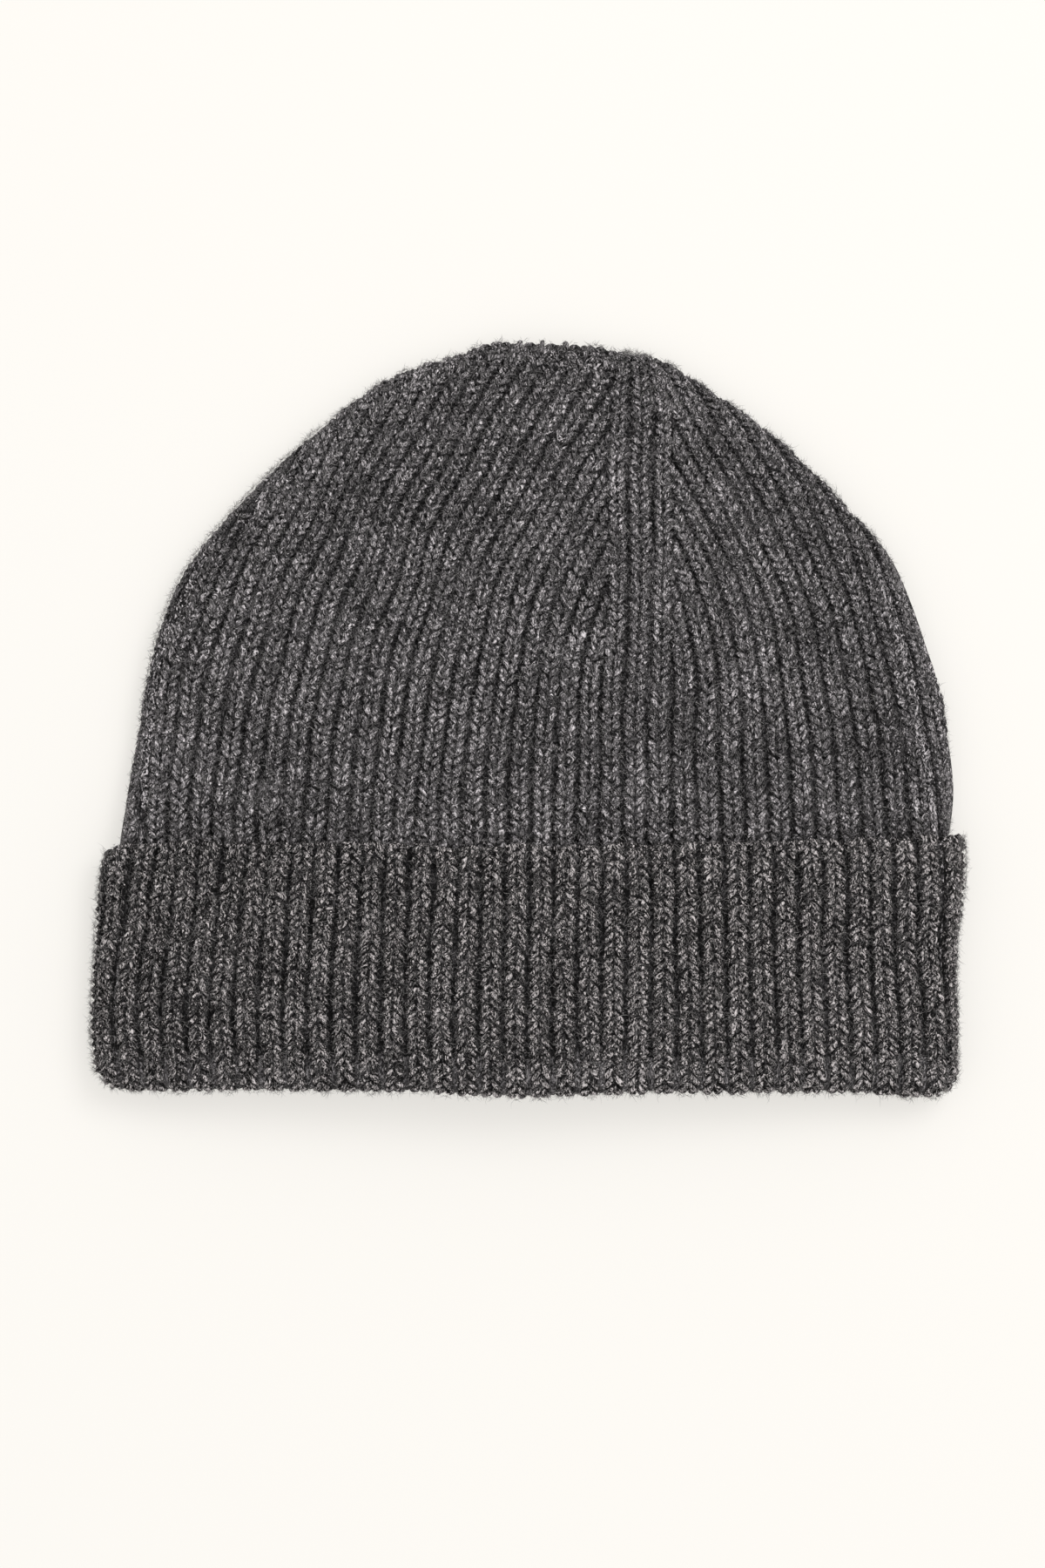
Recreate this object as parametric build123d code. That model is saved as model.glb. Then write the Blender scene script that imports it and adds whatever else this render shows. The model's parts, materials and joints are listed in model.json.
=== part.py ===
from build123d import *
import os
from math import sqrt

# Cuffed rib-knit beanie lying flat: the crown points along +Y, the mouth
# opens along -Y and the front faces up (+Z). Everything is in millimetres.
# The hat is one ribbed tube. Its lower end (the inner band) is covered by
# the same tube folded up outside it (the cuff).

# ---------------------------------------------------------------- sizes
KNIT_T = 4.2            # thickness of one layer of the ribbed knit
LAYER_GAP = 0.4         # air between the cuff and the inner band
CUFF_HALF_W = 115.3     # half width of the cuff, fold to fold
CUFF_H = 32.0           # height of the cuff at its middle, all four layers
CUFF_FOLD_R = 10.0      # outside radius of the cuff's side folds
CUFF_TOP_Y = -32.0      # the cast-on edge, now the cuff's upper rim
CUFF_LOW_Y = -93.8      # where the cuff's wall meets the turned edge
MOUTH_Y = -99.6         # lowest point of the turned edge
BAND_END_Y = -93.4      # lower end of the inner band
BAND_TOP_Y = -31.0      # the inner band goes on into the visible body here
CROWN_Y = 29.0          # the decreases start here
TIP_Y = 99.6            # top of the crown

RIB = 6.45              # pitch of one rib
SPINE_X = 26.0          # centre line of the front decrease spine
SPINE_HALF = RIB        # a spine is two ribs wide
BACK_X0, BACK_X1 = 50.5, 25.5   # the back spine's centre line, at CROWN_Y and at BACK_TOP_Y
BACK_TOP_Y = 94.4
CLOSE_X0, CLOSE_X1 = 14.0, 37.0   # the gathered closing at the crown's tip
SEAM_W, SEAM_H = 3.2, 1.3         # linked seam inside the back
YARN_D = 2.0            # yarn that draws the last crown stitches together

band_off = KNIT_T + LAYER_GAP
cav_off = band_off + KNIT_T

# stations of the tube: y, centre x, half width, underside z, height, fold radius
STATIONS = [
    (BAND_END_Y, 0.0, CUFF_HALF_W - band_off, band_off, CUFF_H - 2 * band_off, CUFF_FOLD_R - band_off),
    (BAND_TOP_Y, 0.0, CUFF_HALF_W - band_off, band_off, CUFF_H - 2 * band_off, CUFF_FOLD_R - band_off),
    (-22.0, 2.6, 109.2, 1.2, 25.4, 6.2),
    (-10.0, 3.8, 107.6, 0.0, 26.0, 6.8),
    (8.3, 3.4, 105.0, 0.0, 25.2, 6.8),
    (CROWN_Y, 2.7, 98.9, 0.0, 23.6, 6.8),
    (40.5, 3.1, 93.8, 0.0, 22.2, 6.7),
    (54.3, 3.2, 82.5, 0.0, 20.2, 6.5),
    (68.1, 3.6, 69.3, 0.0, 17.9, 6.3),
    (77.3, 3.6, 58.9, 0.0, 16.2, 6.0),
    (86.5, 3.3, 45.8, 0.0, 14.2, 5.6),
    (93.0, 3.6, 35.0, 0.0, 12.6, 5.3),
    (97.0, 4.6, 25.5, 0.0, 11.0, 4.4),
    (TIP_Y, 4.6, 14.0, 0.6, 8.0, 3.2),
]


def section(y, cx, a, z0, h, r):
    """A flat-bottomed, round-sided, gently crowned closed profile at one y."""
    m = a - r
    zc = (h - m * m / (h - 2 * r)) / 2
    big = h - zc
    ux, uz = m / (big - r), (r - zc) / (big - r)
    tx, tz = m + r * ux, r + r * uz
    k = sqrt(0.5)
    low_l, low_r = (cx - m, y, z0), (cx + m, y, z0)
    top_l, top_r = (cx - tx, y, z0 + tz), (cx + tx, y, z0 + tz)
    # middle of each side fold's arc, at its outermost reach
    out_l, out_r = (cx - a, y, z0 + r), (cx + a, y, z0 + r)
    edges = [
        Line(low_l, low_r).edge(),
        ThreePointArc(low_r, out_r, top_r).edge(),
        ThreePointArc(top_r, (cx, y, z0 + h), top_l).edge(),
        ThreePointArc(top_l, out_l, low_l).edge(),
    ]
    return Face(Wire(edges))


def slope(i):
    """How fast the half width falls with y at station i."""
    lo, hi = max(i - 1, 1), min(i + 1, len(STATIONS) - 1)
    return (STATIONS[lo][2] - STATIONS[hi][2]) / (STATIONS[hi][0] - STATIONS[lo][0])


def inner_stations():
    """The cavity: one knit layer inside the tube, measured square to its edge."""
    out = []
    for i, (y, cx, a, z0, h, r) in enumerate(STATIONS):
        if y > 90.0:
            break
        s = max(slope(i), 0.0) if y > 0 else 0.0
        side = KNIT_T * sqrt(1 + s * s)
        out.append((y, cx, a - side, z0 + KNIT_T, h - 2 * KNIT_T, r - KNIT_T))
    out.append((92.0, 3.6, 27.5, KNIT_T, 12.8 - 2 * KNIT_T, 1.15))
    out.append((95.0, 4.4, 18.0, KNIT_T, 11.9 - 2 * KNIT_T, 0.95))
    return out


INNER = inner_stations()


def chain(stations, y0=None):
    rows = list(stations)
    if y0 is not None:
        rows = [(y0,) + tuple(rows[0][1:])] + rows
    return loft([section(*s) for s in rows], ruled=True)


def box(x0, x1, y0, y1, z0, z1):
    return Pos((x0 + x1) / 2, (y0 + y1) / 2, (z0 + z1) / 2) * Box(x1 - x0, y1 - y0, z1 - z0)


def ring(off_out, off_in, y0, y1):
    """A straight length of tube between two offsets of the cuff's profile."""
    def prism(off, ya, yb):
        args = (0.0, CUFF_HALF_W - off, off, CUFF_H - 2 * off, CUFF_FOLD_R - off)
        return loft([section(ya, *args), section(yb, *args)], ruled=True)
    return prism(off_out, y0, y1) - prism(off_in, y0 - 2, y1 + 2)


def middle(stations, y0, y1):
    """The plan area between the two rows of side folds."""
    rows = [(s[0], s[1], s[2] - s[5]) for s in stations]

    def at(y):
        for (ya, ca, ma), (yb, cb, mb) in zip(rows, rows[1:]):
            if ya <= y <= yb:
                k = (y - ya) / (yb - ya)
                return (ca + k * (cb - ca), ma + k * (mb - ma))
        return rows[0][1:] if y < rows[0][0] else rows[-1][1:]

    ys = [y0] + [r[0] for r in rows if y0 < r[0] < y1] + [y1]
    left = [(at(y)[0] - at(y)[1], y) for y in ys]
    right = [(at(y)[0] + at(y)[1], y) for y in ys]
    pts = left + right[::-1]
    face = Face(Wire.make_polygon([(p[0], p[1], -5) for p in pts], close=True))
    return extrude(face, amount=60, dir=(0, 0, 1))


def parts_of(shape):
    return sorted(shape.solids(), key=lambda s: -s.volume)


def front_back(shape):
    """The upper and the lower of the two layers that a middle cut leaves."""
    two = sorted(parts_of(shape)[:2], key=lambda s: s.center().Z)
    return two[1], two[0]


def left_right(shape, x):
    lf = shape & box(-200, x, -200, 200, -10, 60)
    rt = shape & box(x, 200, -200, 200, -10, 60)
    return parts_of(lf)[0], parts_of(rt)[0]


nodes = {}

# ---------------------------------------------------------------- the tube
shell = chain(STATIONS) - chain(INNER, BAND_END_Y - 5)

# inner band, under the cuff
band = shell & box(-200, 200, BAND_END_Y - 1, BAND_TOP_Y, -10, 60)
mid = middle(INNER, BAND_END_Y - 2, BAND_TOP_Y + 2)
nodes["inner_band_front"], nodes["inner_band_back"] = front_back(band & mid)
nodes["inner_band_left"], nodes["inner_band_right"] = left_right(band - mid, 0)

# body, from the cuff up to the first decrease
body = shell & box(-200, 200, BAND_TOP_Y, CROWN_Y, -10, 60)
mid = middle(INNER, BAND_TOP_Y, CROWN_Y)
nodes["body_front"], nodes["body_back"] = front_back(body & mid)
nodes["body_left"], nodes["body_right"] = left_right(body - mid, 3)

# crown: three gores between three decrease spines, closed at the tip. The
# left spine runs along the left fold. The right gore wraps round the right
# fold, so it is divided there to keep each solid simple.
crown = shell & box(-200, 200, CROWN_Y, 150, -10, 60)
mid = middle(INNER, CROWN_Y, INNER[-1][0] - 0.6)
upper, lower = front_back(crown & mid)


def strip(xa, xb, w0, w1):
    """A plan area between two slanted lines, xa to xb wide at each end."""
    y0, y1 = CROWN_Y - 10, BACK_TOP_Y + 10
    k = (y1 - CROWN_Y) / (BACK_TOP_Y - CROWN_Y)
    k0 = (y0 - CROWN_Y) / (BACK_TOP_Y - CROWN_Y)
    def lerp(q):
        return xa + (xb - xa) * q
    pts = [(lerp(k0) + w0, y0), (lerp(k0) + w1, y0), (lerp(k) + w1, y1), (lerp(k) + w0, y1)]
    face = Face(Wire.make_polygon([(p[0], p[1], -5) for p in pts], close=True))
    return extrude(face, amount=60, dir=(0, 0, 1))


for tag, layer, xa, xb in (("front", upper, SPINE_X, SPINE_X), ("back", lower, BACK_X0, BACK_X1)):
    nodes["crown_gore_%s" % tag] = parts_of(layer & strip(xa, xb, -300, -SPINE_HALF))[0]
    nodes["decrease_spine_%s" % tag] = parts_of(layer & strip(xa, xb, -SPINE_HALF, SPINE_HALF))[0]
    nodes["crown_gore_right_%s" % tag] = parts_of(layer & strip(xa, xb, SPINE_HALF, 300))[0]
rim = crown - mid
nodes["decrease_spine_left"] = parts_of(rim & box(-200, CLOSE_X0, 0, 150, -10, 60))[0]
nodes["crown_gore_right_edge"] = parts_of(rim & box(CLOSE_X1, 200, 0, 150, -10, 60))[0]
nodes["crown_closing"] = parts_of(rim & box(CLOSE_X0, CLOSE_X1, 0, 150, -10, 60))[0]

# yarn drawn through the last stitches and knotted inside the crown
draw_y = INNER[-2][0] - 5.0
nodes["crown_draw_yarn"] = (
    Pos(SPINE_X - 6.5, draw_y, KNIT_T + YARN_D / 2 + 0.02) * Torus(2.6, YARN_D / 2)
).solid()

# linked seam: a low ridge inside the back, down the back spine to the mouth
floor = [(BAND_END_Y, cav_off), (BAND_TOP_Y, cav_off), (-22.0, 1.2 + KNIT_T), (-10.0, KNIT_T), (CROWN_Y, KNIT_T)]
ridge = floor + [(y, z + SEAM_H) for y, z in floor[::-1]]
face = Face(Wire.make_polygon([(BACK_X0 - SEAM_W / 2, y, z) for y, z in ridge], close=True))
low_seam = extrude(face, amount=SEAM_W, dir=(1, 0, 0))
end_y = 82.0
end_x = BACK_X0 + (BACK_X1 - BACK_X0) * (end_y - CROWN_Y) / (BACK_TOP_Y - CROWN_Y)
face = Face(Wire.make_polygon([
    (BACK_X0 - SEAM_W / 2, CROWN_Y, KNIT_T), (BACK_X0 + SEAM_W / 2, CROWN_Y, KNIT_T),
    (end_x + SEAM_W / 2, end_y, KNIT_T), (end_x - SEAM_W / 2, end_y, KNIT_T)], close=True))
nodes["linking_seam"] = (low_seam + extrude(face, amount=SEAM_H, dir=(0, 0, 1))).solid()

# ---------------------------------------------------------------- the cuff
cuff = ring(0.0, KNIT_T, CUFF_LOW_Y, CUFF_TOP_Y)
rim_edges = cuff.edges().filter_by_position(Axis.Y, CUFF_TOP_Y - 0.01, CUFF_TOP_Y + 0.01)
cuff = fillet(rim_edges, 1.6)
half = CUFF_HALF_W - CUFF_FOLD_R
mid = box(-half, half, -150, 0, -10, 60)
nodes["cuff_front"], nodes["cuff_back"] = front_back(cuff & mid)
nodes["cuff_left"], nodes["cuff_right"] = left_right(cuff - mid, 0)

# the fold that turns the tube outwards and up
turned = ring(0.0, cav_off, MOUTH_Y, CUFF_LOW_Y)
low = turned.edges().filter_by_position(Axis.Y, MOUTH_Y - 0.01, MOUTH_Y + 0.01)
nodes["turned_edge"] = fillet(low, 4.0).solid()

os.makedirs("parts", exist_ok=True)
for name, shape in nodes.items():
    export_step(shape, "parts/%s.step" % name)
    print("%-24s %9.0f mm3" % (name, shape.volume))
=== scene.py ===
import json
from math import pi, radians, sin, cos, tan, sqrt

import bpy
import numpy as np
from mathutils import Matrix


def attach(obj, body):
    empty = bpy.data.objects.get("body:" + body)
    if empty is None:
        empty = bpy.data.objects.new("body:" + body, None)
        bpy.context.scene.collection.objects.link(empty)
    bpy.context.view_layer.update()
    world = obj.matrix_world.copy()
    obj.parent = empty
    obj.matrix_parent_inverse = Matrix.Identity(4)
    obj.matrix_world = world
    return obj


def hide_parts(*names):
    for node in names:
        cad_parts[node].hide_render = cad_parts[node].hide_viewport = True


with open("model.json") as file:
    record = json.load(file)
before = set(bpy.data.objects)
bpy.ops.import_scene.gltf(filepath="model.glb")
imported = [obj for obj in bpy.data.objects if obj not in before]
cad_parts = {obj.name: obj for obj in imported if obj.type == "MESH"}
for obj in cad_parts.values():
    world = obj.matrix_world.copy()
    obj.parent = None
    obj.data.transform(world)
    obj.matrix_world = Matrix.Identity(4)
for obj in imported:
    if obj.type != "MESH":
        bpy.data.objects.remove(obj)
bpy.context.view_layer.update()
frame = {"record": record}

MM = 0.001
SEED = 7041

# ------------------------------------------------------------------ camera
VIEW_H = 414.0                 # height of what the camera sees, mm
CAM_D = 1500.0                 # distance from the camera to the knit, mm
cam_data = bpy.data.cameras.new("camera")
cam = bpy.data.objects.new("camera", cam_data)
bpy.context.scene.collection.objects.link(cam)
cam_data.sensor_fit = "VERTICAL"
cam_data.sensor_height = 36.0
cam_data.sensor_width = 24.0
cam_data.lens = 36.0 * CAM_D / VIEW_H
cam_data.clip_end = 20.0
cam.location = (-1.5 * MM, -17.0 * MM, (CAM_D + 14.0) * MM)
cam.rotation_euler = (0.0, 0.0, 0.0)
bpy.context.scene.camera = cam

# ------------------------------------------------------------------ numbers
N_RIBS = 72                    # ribs round the tube
RIB_H = 2.0                    # a rib's crest above the cloth it stands on
COURSE = 2.12                  # one course of stitches
LAYER = 4.2                    # one layer of knit, both faces' ribs included
CLOTH = 0.4                    # the thin web between the two faces' ribs
X_GROOVE = 25.6                # a groove that runs straight up the front
CUFF_A, CUFF_H, CUFF_R = 115.3, 32.0, 10.0
CUFF_TOP, MOUTH = -32.0, -99.6
CREASE_Y = -31.0               # the cuff's rim reaches up to here


def pchip(pts):
    """A smooth curve through points that never overshoots."""
    x = np.array([p[0] for p in pts], float)
    y = np.array([p[1] for p in pts], float)
    h, d = np.diff(x), np.diff(y) / np.diff(x)
    m = np.zeros_like(y)
    m[0], m[-1] = d[0], d[-1]
    for i in range(1, len(x) - 1):
        if d[i - 1] * d[i] > 0:
            w1, w2 = 2 * h[i] + h[i - 1], h[i] + 2 * h[i - 1]
            m[i] = (w1 + w2) / (w1 / d[i - 1] + w2 / d[i])

    def f(q):
        q = np.clip(np.asarray(q, float), x[0], x[-1])
        i = np.clip(np.searchsorted(x, q) - 1, 0, len(x) - 2)
        t = (q - x[i]) / h[i]
        return ((1 + 2 * t) * (1 - t) ** 2 * y[i] + t * (1 - t) ** 2 * h[i] * m[i]
                + t * t * (3 - 2 * t) * y[i + 1] + t * t * (t - 1) * h[i] * m[i + 1])
    return f


def smooth(e0, e1, v):
    t = np.clip((np.asarray(v, float) - e0) / (e1 - e0), 0, 1)
    return t * t * (3 - 2 * t)


def unit(v):
    return v / np.maximum(np.linalg.norm(v, axis=-1, keepdims=True), 1e-9)


def waves(seed, n, lo, hi):
    """Slow, soft unevenness over the plan, from a few seeded sine waves."""
    r = np.random.default_rng(seed)
    ang, wl, ph = r.uniform(0, 2 * pi, n), r.uniform(lo, hi, n), r.uniform(0, 2 * pi, n)

    def f(x, y):
        out = 0
        for a, w, p in zip(ang, wl, ph):
            out = out + np.sin((x * cos(a) + y * sin(a)) * 2 * pi / w + p)
        return out / sqrt(n)
    return f


# ------------------------------------------------------------------ the tube's outline, seen from above (mm)
OUT_LEFT = [(-109.4, -96.0), (-109.4, -75.0), (-109.3, -55.0), (-109.0, -40.0),
            (-106.8, -28.5), (-106.4, -23.9), (-105.9, -19.3), (-105.0, -14.7), (-104.0, -10.1), (-103.3, -5.5),
            (-102.7, -0.9), (-102.2, 3.7), (-101.5, 8.3), (-100.6, 12.9), (-99.7, 17.5), (-98.6, 22.1),
            (-97.2, 26.7), (-95.5, 31.3), (-93.4, 35.9), (-90.8, 40.5), (-87.5, 45.1), (-83.6, 49.7),
            (-79.4, 54.3), (-75.1, 58.9), (-70.6, 63.5), (-65.8, 68.1), (-60.7, 72.7), (-55.4, 77.3),
            (-49.4, 81.9), (-42.6, 86.5), (-35.0, 91.1), (-24.8, 95.5)]
OUT_TOP = [(-17.6, 97.3), (-10.7, 98.6), (-1.5, 99.4), (7.7, 99.5), (16.9, 98.9), (25.0, 98.0), (30.5, 97.2)]
OUT_RIGHT = [(35.2, 95.3), (41.6, 91.1), (49.0, 86.5), (55.8, 81.9), (62.2, 77.3), (67.8, 72.7), (72.8, 68.1),
             (77.6, 63.5), (82.1, 58.9), (86.2, 54.3), (90.7, 49.7), (94.2, 45.1), (96.9, 40.5), (99.0, 35.9),
             (100.9, 31.3), (102.6, 26.7), (104.1, 22.1), (105.5, 17.5), (106.9, 12.9), (108.3, 8.3), (109.5, 3.7),
             (110.4, -0.9), (111.1, -5.5), (111.6, -10.1), (111.8, -14.7), (111.8, -19.3), (111.6, -23.9),
             (111.2, -28.5), (109.8, -40.0), (109.5, -55.0), (109.4, -75.0), (109.4, -96.0)]

fold_r = pchip([(-96, 5.4), (-31, 5.4), (-22, 6.2), (-10, 6.8), (40, 6.5), (60, 6.0), (80, 5.5), (96, 5.0), (100, 4.9)])
under_z = pchip([(-96, 4.6), (-33, 4.6), (-27, 3.6), (-20, 1.3), (-12, 0.1), (-8, 0.0), (100, 0.0)])
full_h = pchip([(-96, 22.8), (-33, 22.8), (-22, 25.2), (-10, 26.0), (8, 25.2), (29, 23.6), (40.5, 22.2), (54, 20.2),
                (68, 17.9), (77, 16.2), (86, 14.3), (93, 12.4), (97, 10.8), (100, 9.9)])


def resample(pts, step):
    pts = np.asarray(pts, float)
    s = np.r_[0, np.cumsum(np.linalg.norm(np.diff(pts, axis=0), axis=1))]
    n = max(int(round(s[-1] / step)), 2)
    q = np.linspace(0, s[-1], n + 1)
    return np.stack([np.interp(q, s, pts[:, k]) for k in range(pts.shape[1])], -1)


def gauss(a, sig):
    k = np.arange(-int(4 * sig), int(4 * sig) + 1)
    w = np.exp(-0.5 * (k / sig) ** 2)
    w /= w.sum()
    pad = len(k) // 2
    out = np.empty_like(a)
    for c in range(a.shape[1]):
        v = np.r_[2 * a[0, c] - a[pad:0:-1, c], a[:, c], 2 * a[-1, c] - a[-2:-pad - 2:-1, c]]
        out[:, c] = np.convolve(v, w, "valid")
    return out


def normals_in(line):
    t = unit(np.gradient(line, axis=0))
    return np.stack([t[:, 1], -t[:, 0]], -1)


outline = gauss(resample(OUT_LEFT + OUT_TOP + OUT_RIGHT, 0.5), 6.0)
# the rib crests sink between their neighbours at the rim, so the outline is let out a little
_x, _y = outline[:, 0], outline[:, 1]
_l = np.interp(_y, [-96, -34, -24, -12, 0, 12, 36, 60, 72, 78, 84, 90, 96], [0, 0, .4, .7, .4, .2, .1, .3, .3, .2, .6, 1.4, 1.0])
_r = np.interp(_y, [-96, -34, -24, 0, 6, 12, 18, 30, 42, 54, 66, 78, 90, 96], [0, .4, .3, .5, 1.0, .9, .2, .3, .6, .4, .6, .8, .6, 1.6])
_t = np.interp(_x, [-50, -35, -20, -10, 0, 10, 20, 25, 30, 40, 50, 60], [.5, .8, .1, 1.8, 1.7, 1.8, .6, -.2, .1, 1.2, .5, .4])
_w = smooth(84, 94, _y)
outline = outline - normals_in(outline) * ((1 - _w) * np.where(_x < 29, _l, _r) + _w * _t)[:, None]
edge = outline + normals_in(outline) * RIB_H           # where the cloth folds, under the ribs
edge = gauss(resample(edge, 0.5), 3.0)
edge_n = unit(gauss(normals_in(edge), 4.0))
edge_s = np.r_[0, np.cumsum(np.linalg.norm(np.diff(edge, axis=0), axis=1))]
edge_t = np.stack([-edge_n[:, 1], edge_n[:, 0]], -1)
cloth_r = fold_r(edge[:, 1]) - RIB_H
spread = edge - edge_n * (cloth_r * (pi / 2 - 1))[:, None]   # the same edge with the fold laid out flat
spread_s = edge_s
i_top = int(np.argmax(spread[:, 1]))
Y_MAX = spread[i_top, 1]


def left_x(y):
    return np.interp(y, spread[:i_top + 1, 1], spread[:i_top + 1, 0])


def right_x(y):
    return np.interp(y, spread[i_top:, 1][::-1], spread[i_top:, 0][::-1])


def edge_left(y):
    j = int(np.argmax(edge[:, 1]))
    return np.interp(y, edge[:j + 1, 1], edge[:j + 1, 0])


def edge_right(y):
    j = int(np.argmax(edge[:, 1]))
    return np.interp(y, edge[j:, 1][::-1], edge[j:, 0][::-1])


def nearest(x, y):
    """How far along the folded edge a plan point lies, and how far inside it."""
    x, y = np.ravel(x), np.ravel(y)
    idx = np.empty(len(x), int)
    for a in range(0, len(x), 20000):
        b = slice(a, a + 20000)
        d2 = (x[b, None] - edge[None, :, 0]) ** 2 + (y[b, None] - edge[None, :, 1]) ** 2
        idx[b] = np.argmin(d2, 1)
    dx, dy = x - edge[idx, 0], y - edge[idx, 1]
    t = dx * edge_t[idx, 0] + dy * edge_t[idx, 1]
    s = edge_s[idx] + np.clip(t, -0.5, 0.5)
    ex, ey = np.interp(s, edge_s, edge[:, 0]), np.interp(s, edge_s, edge[:, 1])
    nx, ny = np.interp(s, edge_s, edge_n[:, 0]), np.interp(s, edge_s, edge_n[:, 1])
    d = (x - ex) * nx + (y - ey) * ny
    return s, ex, ey, nx, ny, d


soft_z = waves(11, 7, 38.0, 95.0)


def panel_z(x, y, side):
    """Height of the cloth away from the folds."""
    rb = fold_r(y) - RIB_H
    zc = under_z(y) + RIB_H + rb
    l, r = edge_left(y), edge_right(y)
    xi = np.clip((2 * x - l - r) / np.maximum(r - l - 2 * rb, 2.0), -1, 1)
    bump = np.maximum(full_h(y) - 2 * fold_r(y), 0) * (1 - xi * xi) ** 1.4
    soft = 0.55 * soft_z(x, y) * (1 - xi ** 4) * smooth(-34, -20, y) * smooth(97, 80, y)
    top = zc + rb + bump + soft
    low = zc - rb
    return np.where(side > 0, top, low)


def surf(x, y, side):
    """Cloth surface of the tube: plan point with its folds laid flat, to a 3-D point and outward normal."""
    shape = np.shape(x)
    x, y = np.ravel(np.asarray(x, float)), np.ravel(np.asarray(y, float))
    side = np.broadcast_to(np.asarray(side, float), shape).ravel()
    s, ex, ey, nx, ny, d = nearest(x, y)
    rb = fold_r(ey) - RIB_H
    th = (d + rb * (pi / 2 - 1)) / rb
    zc = under_z(ey) + RIB_H + rb
    # folds
    tc = np.clip(th, -pi / 2, pi / 2)
    more = np.maximum(-th - pi / 2, 0) * rb
    inn = rb * (1 - np.cos(tc)) + more
    px, py = ex + nx * inn, ey + ny * inn
    pz = zc + side * rb * np.sin(tc)
    P = np.stack([px, py, pz], -1)
    N = np.stack([-nx * np.cos(tc), -ny * np.cos(tc), side * np.sin(tc)], -1)
    # flat panels
    e = 0.25
    z = panel_z(x, y, side)
    gx = (panel_z(x + e, y, side) - panel_z(x - e, y, side)) / (2 * e)
    gy = (panel_z(x, y + e, side) - panel_z(x, y - e, side)) / (2 * e)
    NP = unit(np.stack([-gx * side, -gy * side, side * np.ones_like(gx)], -1))
    PP = np.stack([x, y, z], -1)
    k = (th >= pi / 2)[:, None]
    mix = smooth(pi / 2, pi / 2 + 0.9, th)[:, None]
    P = np.where(k, PP, P)
    N = unit(np.where(k, N * (1 - mix) + NP * mix, N))
    return P.reshape(shape + (3,)), N.reshape(shape + (3,))


# ------------------------------------------------------------------ where each rib runs
drift = waves(23, 6, 22.0, 60.0)
STEP = 0.5
Y0, Y_BAND = -91.8, -34.0


def table(xs, ys, rows):
    """Bilinear look-up, held at its borders."""
    xs, ys, rows = np.array(xs, float), np.array(ys, float), np.array(rows, float)

    def f(x, y):
        i = int(np.clip(np.searchsorted(ys, y) - 1, 0, len(ys) - 2))
        t = float(np.clip((y - ys[i]) / (ys[i + 1] - ys[i]), 0, 1))
        return np.interp(x, xs, rows[i]) * (1 - t) + np.interp(x, xs, rows[i + 1]) * t
    return f


# how far the ribs lean from straight up, in degrees
ROWS = (-34, -20, -10, 0, 8, 16, 24, 32, 40, 48, 60, 100)
lean_left = table((-96, -72, -48, -24, 0, 18), ROWS, [
    (1, 1, 1, 0.5, 0, 0), (2, 5, 5, 3, 1, 0), (6, 7, 7, 6, 2.5, 0.5), (7, 7.5, 8, 6.5, 4.5, 3),
    (9, 10.5, 11.5, 8.5, 6.5, 6.5), (13, 16, 14.5, 12, 10, 8.5), (20, 19, 17, 15.5, 15, 13.5), (28, 21, 18.5, 17, 18, 20),
    (34, 23, 19.5, 19, 24, 28), (38, 27, 22, 22.5, 28, 31), (44, 34, 26, 26, 29.5, 32), (50, 42, 34, 30, 31, 32)])
lean_right = table((40, 60, 84, 104), ROWS, [
    (0, 0, 0, 0), (0, -1, -5, -5), (0.5, -2.5, -7, -8), (0, -4, -7.5, -10),
    (-1, -5, -9, -11), (-4, -7.5, -10.5, -15), (-9, -12.5, -14, -19), (-17, -19, -17.5, -22),
    (-25, -24, -21, -24), (-28, -27, -24, -28), (-28.5, -30, -28, -32), (-30, -35, -36, -38)])
lean_under = pchip([(-34, 0), (-5, -3), (16, -10), (30, -24), (50, -40), (70, -51), (100, -58)])
lean_back = pchip([(-34, 0), (0, 4), (16, 8), (32, 12), (48, 14.5), (100, 16)])

# the front spine: three ribs between four grooves
SPINE = [pchip([(-96, 18.7), (-34, 18.5), (-20, 18.4), (-5, 18.7), (1.4, 19.0), (8.9, 19.4), (25, 20.2), (50, 20.9), (78, 21.1), (88, 22.0), (94, 24.0), (99, 26.6)]),
         pchip([(-96, 25.1), (-34, 24.9), (-20, 24.7), (-5, 24.6), (8.9, 25.2), (30, 25.9), (60, 26.2), (84, 26.3), (91, 26.8), (99, 28.1)]),
         pchip([(-96, 31.6), (-34, 31.3), (-5, 31.0), (8.9, 31.5), (30, 32.2), (60, 33.0), (80, 33.2), (87, 32.7), (93, 31.6), (99, 29.9)]),
         pchip([(-96, 38.0), (-34, 37.6), (-5, 37.5), (8.9, 37.4), (30, 37.9), (60, 38.2), (76, 38.2), (84, 37.4), (90, 35.4), (99, 31.4)])]
left_groove = pchip([(-96, 5.4), (-5, 5.2), (10, 4.6), (22, 4.1), (50, 3.9), (66, 2.6), (78, 0.4), (87, -2.4), (93, -4.0), (100, -4.4)])   # in from the left fold
back_spine = pchip([(-96, 47.1), (0, 47.1), (20, 46.0), (50, 41.5), (80, 34.0), (99, 28.8)])

Y_UP = np.arange(Y_BAND, 100.2, STEP)


def follow(start, field):
    """Lines through the lean field, from the cuff's rim up."""
    x = np.array(start, float)
    out = [x.copy()]
    for y in Y_UP[1:]:
        x = x + np.tan(np.radians(field(x, y - STEP / 2))) * STEP
        out.append(x.copy())
    return np.array(out)


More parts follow.
